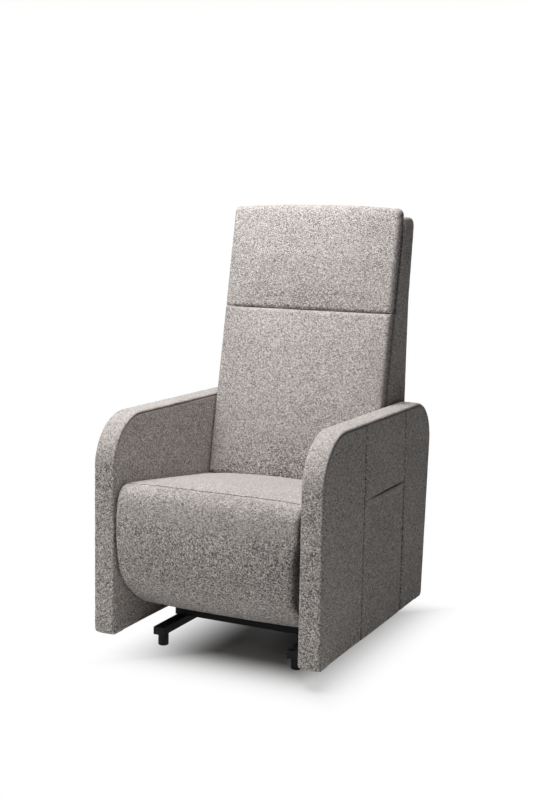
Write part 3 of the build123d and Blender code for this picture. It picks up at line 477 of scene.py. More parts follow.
# Materials
def looped_fabric():
    """Warm grey looped weave: flecked loops about two millimetres wide, with fine fibres."""
    mat, tree, shader = material("looped_fabric")
    place = frame_place(tree)
    wander = node(tree, "ShaderNodeTexNoise", {"Vector": place, "Scale": 60.0, "Detail": 1.0})
    centred = node(
        tree, "ShaderNodeVectorMath", {0: wander.outputs["Color"], 1: (0.5, 0.5, 0.5)},
        operation="SUBTRACT",
    ).outputs[0]
    bent = node(
        tree, "ShaderNodeVectorMath", {0: centred, 1: (0.004, 0.004, 0.004), 2: place},
        operation="MULTIPLY_ADD",
    ).outputs[0]
    loops = node(tree, "ShaderNodeTexVoronoi", {"Vector": bent, "Scale": 430.0})
    fleck = node(tree, "ShaderNodeSeparateColor", {"Color": loops.outputs["Color"]}).outputs[0]
    fibre = noise(tree, place, 900.0, 2.0)
    patch = noise(tree, place, 520.0, 1.0, 0.6)
    broad = maths(tree, "SUBTRACT", noise(tree, place, 5.0, 2.0), 0.5)
    mounds = node(tree, "ShaderNodeTexVoronoi", {"Vector": bent, "Scale": 330.0})
    mound = maths(tree, "SUBTRACT", 1.0, mounds.outputs["Distance"])
    height = maths(tree, "ADD", mound, maths(tree, "MULTIPLY", fibre, 0.25))
    # The loop crests (mound) lighten the tone and the hollows between loops darken it: painted shade in the
    # hollows. The flecks, patches and broad drift are the yarn's own random tone.
    tone = weighted(tree, [(fleck, 0.46), (patch, 0.28), (mound, 0.26), (broad, 0.10)])
    mean_tone = 0.485
    # calm, baked from each face's rest facing, weakens the flecks and the bump on level, leaning-back and
    # sideways faces: the fleck contrast that changes with facing is painted relief shading.
    calm = node(tree, "ShaderNodeAttribute", attribute_name="calm").outputs["Fac"]
    contrast_by_facing = maths(tree, "SUBTRACT", 1.0, calm)
    tone = maths(tree, "MULTIPLY", maths(tree, "SUBTRACT", tone, mean_tone), contrast_by_facing)
    tone = maths(tree, "ADD", tone, mean_tone)
    # The "seam" values darken the fabric: painted shade in the seam grooves, along the pocket's sides, at
    # the cushions' ends and round the rear panel's rim.
    seam = node(tree, "ShaderNodeAttribute", attribute_name="seam").outputs["Fac"]
    tone = maths(tree, "SUBTRACT", tone, maths(tree, "MULTIPLY", seam, 0.17))
    colour = ramp(
        tree, tone,
        [
            (0.31, (0.12, 0.109, 0.103)),
            (0.45, (0.39, 0.359, 0.340)),
            (0.57, (0.61, 0.565, 0.538)),
            (0.73, (0.97, 0.906, 0.867)),
        ],
    )
    surface(tree, shader, colour, bumped(tree, height, contrast_by_facing, 0.0018), 0.95)
    shader.inputs["Specular IOR Level"].default_value = 0.15
    shader.inputs["Sheen Weight"].default_value = 0.12
    shader.inputs["Sheen Roughness"].default_value = 0.6
    return mat


def coated_steel():
    """Black powder coat: fine orange-peel grain and faint rubbed patches."""
    mat, tree, shader = material("coated_steel")
    place = frame_place(tree)
    grain = noise(tree, place, 1400.0, 2.0)
    rub = noise(tree, place, 18.0, 4.0, 0.6)
    colour = ramp(tree, rub, [(0.35, (0.004, 0.004, 0.0045)), (0.75, (0.010, 0.010, 0.011))])
    surface(tree, shader, colour, bumped(tree, grain, 0.25, 0.0004), between(tree, rub, 0.5, 0.65))
    shader.inputs["Specular IOR Level"].default_value = 0.22
    return mat


def plated_steel():
    """Zinc-plated steel with a brushed streak."""
    mat, tree, shader = material("plated_steel")
    streak = noise(tree, frame_place(tree, (30, 900, 900)), 1.0, 3.0)
    cloud = noise(tree, frame_place(tree), 40.0, 3.0)
    colour = ramp(tree, cloud, [(0.3, (0.40, 0.405, 0.41)), (0.7, (0.56, 0.56, 0.565))])
    surface(tree, shader, colour, bumped(tree, streak, 0.15, 0.0003), between(tree, streak, 0.28, 0.5))
    shader.inputs["Metallic"].default_value = 1.0
    return mat


def raw_timber():
    """Plain beech and plywood with long grain."""
    mat, tree, shader = material("raw_timber")
    rings = noise(tree, frame_place(tree, (70, 4, 70)), 1.0, 4.0, 0.6)
    pores = noise(tree, frame_place(tree, (900, 40, 900)), 1.0, 2.0)
    grain = maths(tree, "ADD", rings, maths(tree, "MULTIPLY", pores, 0.35))
    colour = ramp(tree, grain, [(0.4, (0.36, 0.235, 0.13)), (0.9, (0.62, 0.47, 0.31))])
    surface(tree, shader, colour, bumped(tree, pores, 0.2, 0.0005), 0.62)
    return mat


def elastic_webbing():
    """Black elastic webbing with a ribbed weave."""
    mat, tree, shader = material("elastic_webbing")
    wave = node(
        tree, "ShaderNodeTexWave", {"Vector": frame_place(tree), "Scale": 160.0, "Distortion": 1.5},
        bands_direction="DIAGONAL",
    ).outputs["Fac"]
    colour = ramp(tree, wave, [(0.2, (0.014, 0.014, 0.015)), (0.8, (0.05, 0.05, 0.052))])
    surface(tree, shader, colour, bumped(tree, wave, 0.5, 0.0006), 0.85)
    return mat


def moulded_plastic(name, dark, light):
    """Moulded plastic with a fine spark grain."""
    mat, tree, shader = material(name)
    place = frame_place(tree)
    grain = noise(tree, place, 2200.0, 1.0)
    cloud = noise(tree, place, 30.0, 3.0)
    colour = ramp(tree, cloud, [(0.3, dark), (0.7, light)])
    surface(tree, shader, colour, bumped(tree, grain, 0.3, 0.0003), between(tree, cloud, 0.5, 0.66))
    shader.inputs["Specular IOR Level"].default_value = 0.25
    return mat


def dust_cloth():
    """Black spun cloth under the arms and below the gap between the seat and the back."""
    mat, tree, shader = material("dust_cloth")
    fibre = noise(tree, frame_place(tree), 700.0, 4.0, 0.7)
    colour = ramp(tree, fibre, [(0.3, (0.012, 0.012, 0.012)), (0.7, (0.035, 0.035, 0.036))])
    surface(tree, shader, colour, bumped(tree, fibre, 0.4, 0.0005), 0.95)
    return mat


FABRIC = looped_fabric()
DUST = dust_cloth()
FINISHES = {
    "upholstery": FABRIC,
    "webbing": elastic_webbing(),
    "timber": raw_timber(),
    "frame_steel": coated_steel(),
    "bright_steel": plated_steel(),
    "foot_plastic": moulded_plastic("foot_plastic", (0.004, 0.004, 0.004), (0.009, 0.009, 0.0095)),
    "drive_plastic": moulded_plastic("drive_plastic", (0.03, 0.03, 0.032), (0.05, 0.05, 0.053)),
}
for part in frame["record"]["subparts"]:
    cad = frame["nodes"][part["node"]]
    cad.data.materials.clear()
    cad.data.materials.append(FINISHES[part["material_slot"]])


def calm_of(mesh):
    """How much weaker the flecks and the bump are on faces that lean back, lie level or face sideways: the
    fleck contrast by facing is painted relief shading, strongest on fronts that light from above grazes.
    """
    facing = normals(mesh)
    leaning = 0.40 * smooth_step(-0.02, 0.12, facing[:, 2])
    level = 0.16 * smooth_step(0.3, 0.9, facing[:, 2])
    return leaning + level + 0.22 * facing[:, 0] ** 2


def dress(piece, body, nodes, finish=FABRIC):
    """Gives a piece its finish, its body and the nodes it stands for, and a fabric piece its calm values,
    the painted relief shading by facing.
    """
    piece.data.materials.clear()
    piece.data.materials.append(finish)
    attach(piece, body)
    if nodes:
        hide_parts(*nodes)
    if finish is FABRIC:
        set_values(piece, "calm", calm_of(piece.data))


# Arms
def arm_line(inset, foot):
    """Arm outline from under the front, over the top, to under the rear."""
    corners = [
        (BAND_TUCK, foot),
        (inset, foot),
        (inset, ARM_TOP - inset),
        (ARM_REAR_PEAK - inset, ARM_TOP - inset),
        (ARM_REAR_FOOT - inset, foot),
        (ARM_REAR_FOOT - BAND_TUCK, foot),
    ]
    foot_round = max(ARM_FOOT_ROUND - inset, ARM_LEAST_ROUND)
    radii = [foot_round, ARM_FRONT_ROUND - inset, ARM_REAR_ROUND - inset, foot_round]
    return rounded(corners, radii, 0.004)


def band_section():
    """Band section as (sideways place, depth below the outline), from one seam to the other."""
    tucked = ARM_HALF - PANEL_BACK - 0.001
    flat = ARM_HALF - BAND_EDGE
    right = []
    for i in range(9):
        turn = math.radians(90 * i / 8)
        right.append((flat + BAND_EDGE * math.sin(turn), BAND_EDGE - BAND_EDGE * math.cos(turn)))
    right += [
        (ARM_HALF - 0.0008, 0.0051),
        (ARM_HALF - 0.0022, 0.0054),
        (ARM_HALF - SEAM_DIP, 0.0056),
        (tucked, 0.0057),
        (tucked, BAND_DEPTH),
    ]
    across = [(x, 0.0) for x in np.linspace(-flat, flat, 9)[1:-1]]
    section = [(-x, v) for x, v in reversed(right)] + across + right
    return [(x, v - BAND_CROWN * (1 - (x / ARM_HALF) ** 2)) for x, v in section]


def arm_band(name, side):
    """Band of fabric round the front, top and rear of an arm."""
    line = spaced(arm_line(0.0, ARM_FOOT), 0.006)
    section = band_section()
    count = len(section)
    verts = []
    for (depth, height), (out_d, out_h), run in zip(line, outward_of(line), travel(line)):
        for x, v in section:
            lift = BAND_WAVE * math.sin(run * 95) * math.cos(x * 140 + run * 31) - v
            verts.append((side * (ARM_MID + x), FRONT + depth + out_d * lift, height + out_h * lift))
    faces = []
    for i in range(len(line) - 1):
        for j in range(count):
            k = (j + 1) % count
            faces.append((i * count + j, i * count + k, (i + 1) * count + k, (i + 1) * count + j))
    faces.append(tuple(range(count)))
    last = (len(line) - 1) * count
    faces.append(tuple(range(last + count - 1, last - 1, -1)))
    return new_object(name, verts, faces)


def mouth(depth):
    """How far the pocket's mouth stands open along its width."""
    along = (depth - SIDE_SEAMS[0]) / (SIDE_SEAMS[1] - SIDE_SEAMS[0])
    return smooth_step(0.03, 0.45, along) * (1 - 0.5 * smooth_step(0.75, 1.0, along))


def panel_rows(line, foot, seams, pocket):
    """Grid of side points over an arm panel, close together at its rim, seams and pocket mouth."""
    top = ARM_TOP - SEAM_INSET - 1e-6
    front = line[1 : np.argmax(line[:, 1] >= top) + 1]
    rear = line[len(line) - 1 - np.argmax(line[::-1, 1] >= top) : -1][::-1]
    arc_foot = ARM_TOP - ARM_FRONT_ROUND
    arc_round = ARM_FRONT_ROUND - SEAM_INSET
    low = list(foot + (arc_foot - foot) * zone(foot, arc_foot, PANEL_STEP))
    if pocket:
        low += [POCKET_LIP + s * 0.0012 for s in (-4, -2, -1, -0.4, 0.4, 1, 2, 3, 5)]
    high = [arc_foot + arc_round * math.sin(math.radians(a)) for a in np.linspace(3, 90, 34)]
    heights = np.concatenate([sorted(set(low)), high])
    starts = np.interp(heights, front[:, 1], front[:, 0])
    ends = np.interp(heights, rear[:, 1], rear[:, 0])
    marks = list(seams) if seams else [PANEL_MIDDLE]
    fine = 0.0009 if seams else 0.004
    nominal = [0.0, *marks, ARM_REAR_FOOT]
    rows = []
    for height, start, end in zip(heights, starts, ends):
        limits = [start, *marks, end]
        row = []
        for k in range(len(limits) - 1):
            shares = zone(nominal[k], nominal[k + 1], PANEL_STEP, fine)
            if row:
                shares = shares[1:]
            row += [(limits[k] + (limits[k + 1] - limits[k]) * s, height) for s in shares]
        rows.append(row)
    return np.array(rows)


def panel_relief(points, line, seams, pocket):
    """Height of an arm panel over its plane: its rolled rim, crown, seams and pocket mouth."""
    depths, heights = points[:, 0], points[:, 1]
    edge = edge_distance(points, line)
    relief = -SEAM_DIP * quarter_round(np.clip(edge / RIM_ROUND, 0, 1))
    relief += PANEL_CROWN * (1 - np.exp(-edge / 0.06))
    relief += PANEL_WAVE * np.sin(depths * 21 + 1.3) * np.sin(heights * 17)
    for seam in seams:
        gap = np.abs(depths - seam)
        relief -= SEAM_DEPTH * bell(gap, SEAM_WIDTH)
        relief += SEAM_PUFF * bell(gap - 0.014, 0.009)
    if pocket:
        middle = (depths > seams[0]) & (depths < seams[1])
        inside = (depths > seams[0] + 0.0012) & (depths < seams[1] - 0.0012)
        inside &= heights < POCKET_LIP
        above = np.clip(heights - POCKET_LIP, 0, None)
        lip = 0.0012 * bell(above - 0.012, 0.016) - 0.0018 * mouth(depths) * bell(above, 0.0022)
        relief += np.where(middle & ~inside, lip, 0)
        relief = np.where(inside, -POCKET_RECESS, relief)
    return relief


def arm_panel(name, side, outward, seams, pocket):
    """Side panel of an arm, facing away from the seat (outward 1) or towards it (outward -1)."""
    foot = ARM_FOOT + PANEL_RAISE
    line = arm_line(SEAM_INSET, foot)
    flat = panel_rows(line, foot, seams, pocket)
    points = flat.reshape(-1, 2)
    x = side * (ARM_MID + outward * (ARM_HALF + panel_relief(points, line, seams, pocket)))
    grid = np.stack([x, FRONT + points[:, 0], points[:, 1]], axis=1).reshape(*flat.shape[:2], 3)
    back = grid.copy()
    depth = POCKET_RECESS + 0.0015 if pocket else PANEL_BACK
    back[:, :, 0] = side * (ARM_MID + outward * (ARM_HALF - depth))
    piece = sheet_solid(name, grid, back)
    # Painted shade along the seam grooves.
    dark = np.zeros(len(piece.data.vertices))
    for seam in seams:
        dark[: len(points)] += bell(np.abs(points[:, 0] - seam), SEAM_WIDTH)
    set_values(piece, "seam", dark)
    return piece


def pocket_panel(name):
    """Slack front of the side pocket, sewn at its sides, with a hemmed mouth."""
    foot = ARM_FOOT + PANEL_RAISE
    start, end = (SIDE_SEAMS[0] + POCKET_CLEAR, SIDE_SEAMS[1] - POCKET_CLEAR)
    columns = start + (end - start) * zone(start, end, POCKET_STEP)
    shares = zone(foot, POCKET_TOP, POCKET_STEP)
    tops = POCKET_TOP - POCKET_SAG * mouth(columns)
    flat = np.array([np.stack([columns, foot + (tops - foot) * s], axis=1) for s in shares])
    points = flat.reshape(-1, 2)
    depths = points[:, 0]
    below = np.repeat((1 - shares) * (POCKET_TOP - foot), len(columns))
    sides = np.minimum(depths - start, end - depths)
    rim = np.minimum(sides / 0.005, (points[:, 1] - foot) / RIM_ROUND)
    relief = -0.0034 * quarter_round(np.clip(rim, 0, 1))
    relief -= 0.0022 * mouth(depths) * quarter_round(np.clip(below / 0.003, 0, 1))
    relief += 0.0016 * bell(below - 0.007, 0.007) - 0.0012 * bell(below - HEM, 0.0025)
    relief += 0.0018 * np.sin(math.pi * (depths - start) / (end - start)) * np.exp(-below / 0.07)
    relief += PANEL_CROWN * (1 - np.exp(-sides / 0.05))
    x = ARM_MID + ARM_HALF + relief
    grid = np.stack([x, FRONT + depths, points[:, 1]], axis=1).reshape(*flat.shape[:2], 3)
    back = grid.copy()
    back[:, :, 0] = ARM_MID + ARM_HALF - POCKET_BACK
    piece = sheet_solid(name, grid, back)
    # Painted shade along the pocket's sewn sides.
    dark = np.zeros(len(piece.data.vertices))
    dark[: len(points)] = bell(sides, 0.0026)
    set_values(piece, "seam", dark)
    return piece


def arm_sole(name, side):
    """Dust cloth under an arm, tucked between the ends of its band."""
    depths = np.linspace(BAND_TUCK + 0.001, ARM_REAR_FOOT - BAND_TUCK - 0.001, 40)
    across = np.linspace(-ARM_HALF + SOLE_INSET, ARM_HALF - SOLE_INSET, 9)
    grid = np.zeros((len(depths), len(across), 3))
    for i, depth in enumerate(depths):
        for j, x in enumerate(across):
            slack = SOLE_SLACK * math.sin(i * 0.9) * math.cos(j * 1.1)
            grid[i, j] = (side * (ARM_MID + x), FRONT + depth, ARM_FOOT + SOLE_RAISE + slack)
    back = grid.copy()
    back[:, :, 2] += SOLE_THICK
    return sheet_solid(name, grid, back)


for side, word in ((-1, "left"), (1, "right")):
    band = arm_band(f"arm_band_cover_{word}", side)
    dress(band, "carriage", [f"arm_band_{word}"])
    outer = arm_panel(f"arm_outer_cover_{word}", side, 1, SIDE_SEAMS, word == "right")
    dress(outer, "carriage", [f"arm_outer_pad_{word}"])
    inner = arm_panel(f"arm_inner_cover_{word}", side, -1, (), False)
    dress(inner, "carriage", [f"arm_inner_pad_{word}"])
    dress(arm_sole(f"arm_sole_{word}", side), "carriage", [], DUST)
dress(pocket_panel("pocket_cover"), "carriage", ["side_pocket"])


# Cushions
def crown_share(x, half):
    """Share of a cushion's crown at a sideways place."""
    return 0.1 + 0.9 * (1 - (x / half) ** 2)


def pillow(name, lines, reach, edges, count, rings, rise):
    """Closed cushion from side lines of its show face and its rear, rolled in at its sides.

    reach and edges are the left and right half widths and edge rounds. rise says how much the
    downward and the upward parts of the show face follow the roll. Returned with the piece:
    1 at each vertex of the rear, and how freely each vertex of the show face swells.
    """
    half = sum(reach) / 2
    roll = [1 - math.cos(math.radians(a)) for a in (0, 18, 36, 54, 72, 90)]
    inner = np.linspace(
        edges[0] * 1.5 - reach[0], reach[1] - edges[1] * 1.5, int(2 * half / CUSHION_STEP)
    )
    stations = [edges[0] * r - reach[0] for r in roll] + list(inner)
    stations = np.array(stations + [reach[1] - edges[1] * r for r in reversed(roll)])
    grid = np.zeros((len(stations), count, 3))
    back = np.zeros((len(stations), count, 3))
    for i, x in enumerate(stations):
        show, rear = (even(np.array(line), count) for line in lines(crown_share(x, half)))
        edge, inset = (edges[0], reach[0] + x) if x < 0 else (edges[1], reach[1] - x)
        drop = edge * quarter_round(min(inset / edge, 1))
        room = np.linalg.norm(show - rear, axis=1) * 0.45
        out = outward_of(show)
        way = np.stack([np.ones(count), np.where(out[:, 1] > 0, rise[1], rise[0])], axis=1)
        show = show - out * np.minimum(drop, room)[:, None] * way
        grid[i] = np.stack([np.full(count, x), FRONT + show[:, 0], show[:, 1]], axis=1)
        back[i] = np.stack([np.full(count, x), FRONT + rear[:, 0], rear[:, 1]], axis=1)
    piece = sheet_solid(name, grid, back, rings)
    size = len(stations) * count
    held = np.zeros(len(piece.data.vertices))
    held[size : 2 * size] = 1
    order = np.arange(count)
    ends = 2 * np.minimum(order, count - 1 - order) / (count - 1)
    sides = np.minimum(np.minimum(stations + reach[0], reach[1] - stations) / half, 1)
    free = np.zeros(len(piece.data.vertices))
    free[:size] = np.outer(1 - (1 - sides) ** 4, 1 - (1 - ends) ** 4).ravel()
    return piece, held, free


def inflate(piece, held):
    """Cloth under pressure, with some vertices held; gives how far each vertex moves."""
    group = piece.vertex_groups.new(name="held")
    for index in np.nonzero(held > 0.5)[0]:
        group.add([int(index)], 1.0, "REPLACE")
    modifier = piece.modifiers.new("cloth", "CLOTH")
    settings = modifier.settings
    settings.quality = 5
    settings.mass = 0.3
    settings.tension_stiffness = 15
    settings.compression_stiffness = 15
    settings.shear_stiffness = 5
    settings.bending_stiffness = 0.5
    settings.use_pressure = True
    settings.uniform_pressure_force = PRESSURE
    settings.vertex_group_mass = "held"
    settings.effector_weights.gravity = 0
    modifier.collision_settings.use_collision = False
    modifier.point_cache.frame_start = 1
    modifier.point_cache.frame_end = SIM_FRAMES
    scene = bpy.context.scene
    for step in range(1, SIM_FRAMES + 1):
        scene.frame_set(step)
    view = bpy.context.evaluated_depsgraph_get()
    shift = coordinates(piece.evaluated_get(view).data) - coordinates(piece.data)
    piece.modifiers.clear()
    piece.vertex_groups.clear()
    scene.frame_set(1)
    return shift


def cushion(name, body, stands_for, lines, reach, edges, count, rings, swells=None, rise=(1, 1), ends=None):
    """A stuffed pad: blown up by cloth pressure, and swollen by a smoothed share of what that gives."""
    piece, held, free = pillow(name, lines, reach, edges, count, rings, rise)
    mesh = piece.data
    places = coordinates(mesh)
    facing = normals(mesh)
    shift = inflate(piece, held)
    swell = np.clip(np.sum(shift * facing, axis=1), -SWELL_CAP, SWELL_CAP)
    swell = relax(swell[:, None], edges_of(mesh), SWELL_ROUNDS)[:, 0]
    if swells is not None:
        free = free * swells(places)
    places = places + (free * swell * SWELL_SHARE)[:, None] * facing
    places[:, 0] = np.clip(places[:, 0], -SIDE_LIMIT, SIDE_LIMIT)
    set_coordinates(mesh, places)
    if ends is not None:
        ends(piece)
    smooth = piece.modifiers.new("smooth", "SUBSURF")
    smooth.levels = 1
    smooth.render_levels = 1
    dress(piece, body, [stands_for])


def seat_lines(share):
    """Seat top from its lip on the legrest roll to its rear, and its underside."""
    crown = SEAT_CROWN * share
    radius = BARREL + BARREL_CROWN * share
    tip = LIP_SIDE + LIP_REACH * (share - 0.1) / 0.9
    lip = hinge_arc(radius + LIP_GAP + LIP_THICK, tip, 82)
    corners = [
        tuple(lip[-1]),
        (0.115, 0.4263 + crown),
        (0.300, 0.405 + crown),
        (SEAT_REAR, 0.386 + crown / 2),
        (SEAT_REAR, 0.312),
    ]
    show = np.vstack([lip[:-1], rounded(corners, [0.20, 0.60, 0.018], 0.003)])
    under = hinge_arc(radius + LIP_GAP, tip, -8)
    rear = np.vstack([under, [(0.112, 0.352), (0.130, 0.345), (0.472, 0.304)]])
    return show, rear


def legrest_lines(share):
    """Legrest front from the top of its roll to its toe, and its rear round the hinge."""
    radius = BARREL + BARREL_CROWN * share
    swell = LEGREST_CROWN * share
    low = swell * 0.25
    roll = hinge_arc(radius, 70, 118)
    fall = smooth_line(
        [
            tuple(roll[-1]),
            (0.0108 - swell, 0.408 + swell / 2),
            (0.0022 - swell, 0.374),
            (-swell, 0.335),
            (0.005 - swell, 0.262),
            (0.024 - low, 0.199 - low / 2),
            (0.070 - low / 2, 0.150 - low),
            (0.130, 0.110 - low),
            (0.203, 0.086 - low / 3),
        ]
    )
    show = np.vstack([roll[:-1], fall])
    hollow = hinge_arc(LEGREST_HOLLOW, 70, 262)
    rear = np.vstack([hollow, [(LEGREST_REAR, 0.302), (LEGREST_REAR, 0.160), (0.210, 0.097)]])
    return show[::-1], rear[::-1]


def legrest_ends(piece):
    """Draws the legrest's right end in below its brow, and paints both ends dark: painted shade in the gaps
    beside the arms.
    """
    places = coordinates(piece.data)
    lower = smooth_step(0, 0.075, 0.362 - places[:, 2]) + smooth_step(0, 0.10, 0.27 - places[:, 2])
    places[:, 0] -= END_TAPER * lower * smooth_step(0.15, 0.24, places[:, 0])
    set_coordinates(piece.data, places)
    # Painted shade on the end walls, which face the arms.
    set_values(piece, "seam", smooth_step(0.70, 0.95, np.abs(normals(piece.data)[:, 0])))


def front_line(height):
    """Depth of the back's leaning front line."""
    return LEAN_DEPTH + (height - LEAN_HEIGHT) * math.tan(math.radians(LEAN))


def leaning(points):
    """Points of (depth behind the leaning line, height) as side points."""
    return [(front_line(h) + offset, h) for offset, h in points]


def lower_lines(share):
    """Lower back cushion: front with its lumbar swell, and its rear clear of the headrest rod."""
    crown = BACK_CROWN * share
    corners = leaning(
        [
            (0.040, BACK_FOOT),
            (0.0, BACK_FOOT),
            (-1.6 * crown, BACK_FOOT + 0.118),
            (-1.8 * crown, BACK_FOOT + 0.205),
            (-1.1 * crown, BACK_FOOT + 0.335),
            (-crown / 2, BACK_TOP),
            (SEAM_LIP, BACK_TOP),
        ]
    )
    show = rounded(corners, [0.014, 0.30, 0.60, 0.80, 0.9 * (SEAM_LIP + crown / 2)], 0.001)
    groove = smooth_step(0.16, 0.26, share)
    rear = [
        (BACK_REAR, BACK_FOOT + 0.006),
        (BACK_REAR, BACK_TOP - EDGE_GAP - 0.0435 * groove),
        (BACK_REAR - (BACK_REAR - ROD_LIP) * groove, BACK_TOP - EDGE_GAP),
    ]
    return show, np.array(leaning(rear))


def headrest_lines(share):
    """Headrest cushion: front with its rolled ends, and its rear on its board."""
    crown = BACK_CROWN * share
    top = HEADREST_TOP + HEADREST_RISE * share
    corners = leaning(
        [
            (SEAM_LIP, HEADREST_FOOT),
            (-crown / 2, HEADREST_FOOT),
            (-crown, (HEADREST_FOOT + top) / 2),
            (-crown / 2, top),
            (HEADREST_HEM, top),
            (HEADREST_HEM, top - 0.014),
        ]
    )
    show = rounded(corners, [0.9 * (SEAM_LIP + crown / 2), 0.12, 0.015, 0.008], 0.001)
    groove = smooth_step(0.16, 0.26, share)
    rear = [
        (HEADREST_REAR - (HEADREST_REAR - ROD_LIP) * groove, HEADREST_FOOT + EDGE_GAP),
        (HEADREST_REAR, HEADREST_FOOT + 0.003 + 0.029 * groove),
        (HEADREST_REAR, top - 0.02),
    ]
    return show, np.array(leaning(rear))


def back_ends(piece):
    """Painted shade at the rear of a back cushion's ends, in the gap where it meets the shell."""
    places = coordinates(piece.data)
    behind = places[:, 1] - FRONT - front_line(places[:, 2])
    facing = np.abs(normals(piece.data)[:, 0])
    set_values(piece, "seam", smooth_step(0.6, 0.9, facing) * smooth_step(0.014, 0.026, behind))


cushion(
    "seat_cushion", "carriage", "seat_pad", seat_lines,
    reach=(0.2465, 0.2445), edges=(0.010, 0.015), count=64, rings=8,
    swells=lambda places: smooth_step(0.06, 0.14, places[:, 1] - FRONT),
)
cushion(
    "legrest_cushion", "legrest", "legrest_pad", legrest_lines,
    reach=(0.2465, 0.2450), edges=(0.008, 0.012), count=76, rings=5,
    swells=lambda places: smooth_step(-0.01, 0.05, HINGE[1] + 0.052 - places[:, 2]),
    ends=legrest_ends,
)
cushion(
    "lower_back_cushion", "back", "lower_back_pad", lower_lines,
    reach=(0.249, 0.243), edges=(0.007, 0.010), count=84, rings=4, rise=(1, 0), ends=back_ends,
)
cushion(
    "headrest_cushion", "headrest", "headrest_pad", headrest_lines,
    reach=(0.249, 0.243), edges=(0.007, 0.014), count=60, rings=4, rise=(0, 1), ends=back_ends,
)


# Back shell
def copy_of(source, name):
    """A free copy of a CAD node's shape, with its split edges joined."""
    mesh = frame["nodes"][source].data.copy()
    mesh.name = name
    work = bmesh.new()
    work.from_mesh(mesh)
    bmesh.ops.remove_doubles(work, verts=work.verts, dist=1e-5)
    work.to_mesh(mesh)
    work.free()
    piece = bpy.data.objects.new(name, mesh)
    bpy.context.scene.collection.objects.link(piece)
    return piece


def remesh(piece, voxel):
    """Even quads over a piece."""
    modifier = piece.modifiers.new("even", "REMESH")
    modifier.mode = "VOXEL"
    modifier.voxel_size = voxel
    view = bpy.context.evaluated_depsgraph_get()
    made = bpy.data.meshes.new_from_object(piece.evaluated_get(view))
    old = piece.data
    piece.modifiers.clear()
    piece.data = made
    bpy.data.meshes.remove(old)
    piece.data.polygons.foreach_set("use_smooth", [True] * len(piece.data.polygons))


def shell_cover(name):
    """Tight cover over the shell and its wadding."""
    piece = copy_of("back_shell", name)
    remesh(piece, SHELL_VOXEL)
    places = relax(coordinates(piece.data), edges_of(piece.data), SHELL_ROUNDS)
    places[:, 0] *= SHELL_WIDEN
    places[:, 2] += SHELL_RISE * smooth_step(0.85, 1.06, places[:, 2])
    set_coordinates(piece.data, places)
    return piece


def rear_panel(name):
    """Panel sewn on the rear of the shell."""
    heights = REAR_FOOT + (REAR_TOP - REAR_FOOT) * zone(REAR_FOOT, REAR_TOP, REAR_STEP)
    across = 2 * REAR_HALF * (zone(0, 2 * REAR_HALF, REAR_STEP) - 0.5)
    x, z = np.meshgrid(-across, heights)
    base = np.interp(z, SHELL_REAR_HEIGHTS, SHELL_REAR_PLACES) + REAR_CLEAR
    inset = np.minimum(REAR_HALF - np.abs(x), np.minimum(z - REAR_FOOT, REAR_TOP - z))
    rim = np.clip(inset / REAR_ROUND, 0, 1)
    face = base + REAR_THICK * (1 - quarter_round(rim))
    piece = sheet_solid(name, np.stack([x, face, z], axis=2), np.stack([x, base - REAR_SUNK, z], axis=2))
    # Painted shade round the rim, where the panel meets the shell, and on its edges and back.
    dark = np.ones(len(piece.data.vertices))
    dark[: rim.size] = (1 - rim.ravel()) ** 2
    set_values(piece, "seam", dark)
    return piece


dress(shell_cover("shell_cover"), "back", ["back_shell"])
dress(rear_panel("shell_rear_panel"), "back", [])


# Gusset
def slack_strip(name):
    """Slack cloth across the chair, below the gap between the seat and the back."""
    line = smooth_line(GUSSET_LINE, 4)
    under = line - outward_of(line) * GUSSET_THICK
    across = np.linspace(-GUSSET_HALF, GUSSET_HALF, 40)
    sag = np.sin(np.linspace(0, math.pi, len(line)))
    sheets = []
    for side_line in (line, under):
        rows = []
        for x in across:
            heights = side_line[:, 1] + GUSSET_SLACK * math.sin(x * 60) * sag
            rows.append(np.stack([np.full(len(line), x), FRONT + side_line[:, 0], heights], axis=1))
        sheets.append(np.array(rows))
    return sheet_solid(name, *sheets)


gusset = slack_strip("back_gusset")
gusset.data.materials.append(DUST)
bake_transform(gusset)


# Floor, light and camera
def camera_sees(tree):
    """1 for rays from the camera or from a glossy surface."""
    ray = node(tree, "ShaderNodeLightPath")
    return maths(tree, "ADD", ray.outputs["Is Camera Ray"], ray.outputs["Is Glossy Ray"])


def past(tree, place, half):
    """How far a place lies past half a width from 0."""
    return maths(tree, "SUBTRACT", maths(tree, "ABSOLUTE", place, 0), half)


def pale_floor():
    """Pale floor that keeps the shadow near the chair and turns white away from it."""
    mat, tree, shader = material("pale_floor")
    shader.inputs["Base Color"].default_value = (0.72, 0.72, 0.715, 1)
    shader.inputs["Roughness"].default_value = 0.9
    shader.inputs["Specular IOR Level"].default_value = 0.0
    coord = node(tree, "ShaderNodeTexCoord").outputs["Object"]
    spot = node(tree, "ShaderNodeSeparateXYZ", {0: coord})
    across = maths(tree, "SUBTRACT", spot.outputs["X"], SHADOW_MIDDLE)
    beside = past(tree, across, SHADOW_HALF_WIDTH)
    before = past(tree, spot.outputs["Y"], SHADOW_HALF_DEPTH)
    away = node(
        tree, "ShaderNodeMapRange",
        {"Value": maths(tree, "MAXIMUM", beside, before), "From Min": -0.18, "From Max": 0.10},
        interpolation_type="SMOOTHSTEP",
    ).outputs[0]
    white = node(tree, "ShaderNodeEmission", {"Color": (1, 1, 1, 1), "Strength": 1.0}).outputs[0]
    share = maths(tree, "MULTIPLY", camera_sees(tree), away)
    both = node(tree, "ShaderNodeMixShader", {0: share, 1: shader.outputs[0], 2: white}).outputs[0]
    tree.links.new(both, tree.nodes["Material Output"].inputs["Surface"])
    return mat


floor = new_object(
    "floor",
    [(x * FLOOR_HALF, y * FLOOR_HALF, 0.0) for x, y in ((-1, -1), (1, -1), (1, 1), (-1, 1))],
    [(0, 1, 2, 3)],
)
floor.data.materials.append(pale_floor())


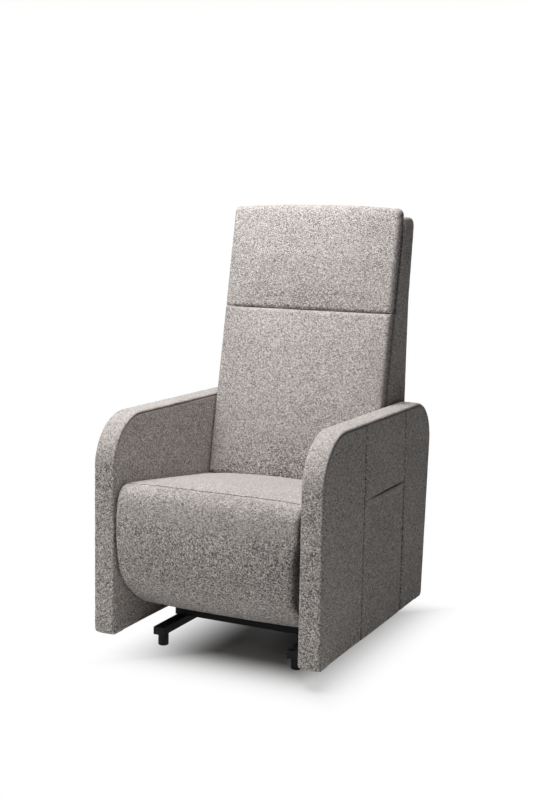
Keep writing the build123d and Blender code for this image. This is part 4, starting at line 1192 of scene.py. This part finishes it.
def studio_world():
    """White to the camera, and a faint fill light to everything else."""
    world = bpy.data.worlds.new("studio")
    bpy.context.scene.world = world
    world.use_nodes = True
    tree = world.node_tree
    tree.nodes.clear()
    white = node(tree, "ShaderNodeBackground", {"Color": (1, 1, 1, 1), "Strength": 1.0}).outputs[0]
    fill = node(tree, "ShaderNodeBackground", {"Color": (1, 1, 1, 1), "Strength": 0.015}).outputs[0]
    shown = node(tree, "ShaderNodeMixShader", {0: camera_sees(tree), 1: fill, 2: white}).outputs[0]
    node(tree, "ShaderNodeOutputWorld", {"Surface": shown})


def lamp(name, place, target, size, power):
    """A soft square lamp aimed at a point."""
    data = bpy.data.lights.new(name, "AREA")
    data.shape = "SQUARE"
    data.size = size
    data.energy = power
    made = bpy.data.objects.new(name, data)
    made.location = place
    made.rotation_mode = "QUATERNION"
    made.rotation_quaternion = (Vector(target) - Vector(place)).to_track_quat("-Z", "Y")
    bpy.context.scene.collection.objects.link(made)


def photo_camera():
    """Camera fitted to the photo."""
    data = bpy.data.cameras.new("camera")
    data.sensor_fit = "VERTICAL"
    data.sensor_height = 36.0
    data.lens = CAMERA_LENS
    data.clip_end = 100
    made = bpy.data.objects.new("camera", data)
    bpy.context.scene.collection.objects.link(made)
    made.location = CAMERA_PLACE
    gaze = Vector(CAMERA_AIM) - Vector(CAMERA_PLACE)
    roll = Quaternion((0, 0, 1), math.radians(CAMERA_ROLL))
    made.rotation_mode = "QUATERNION"
    made.rotation_quaternion = gaze.to_track_quat("-Z", "Y") @ roll
    bpy.context.scene.camera = made


studio_world()
lamp("overhead", (-0.60, -0.95, 2.7), (0.0, 0.0, 0.5), 1.6, 61)
lamp("top", (0.05, -0.15, 2.6), (0.0, -0.1, 0.4), 0.9, 20)
lamp("rear", (-1.3, 2.7, 1.7), (0.0, 0.2, 0.6), 1.4, 18)
lamp("front_left", (-2.4, -2.4, 1.3), (0.0, 0.0, 0.6), 1.6, 2)
photo_camera()
bpy.context.scene.view_settings.view_transform = "Standard"
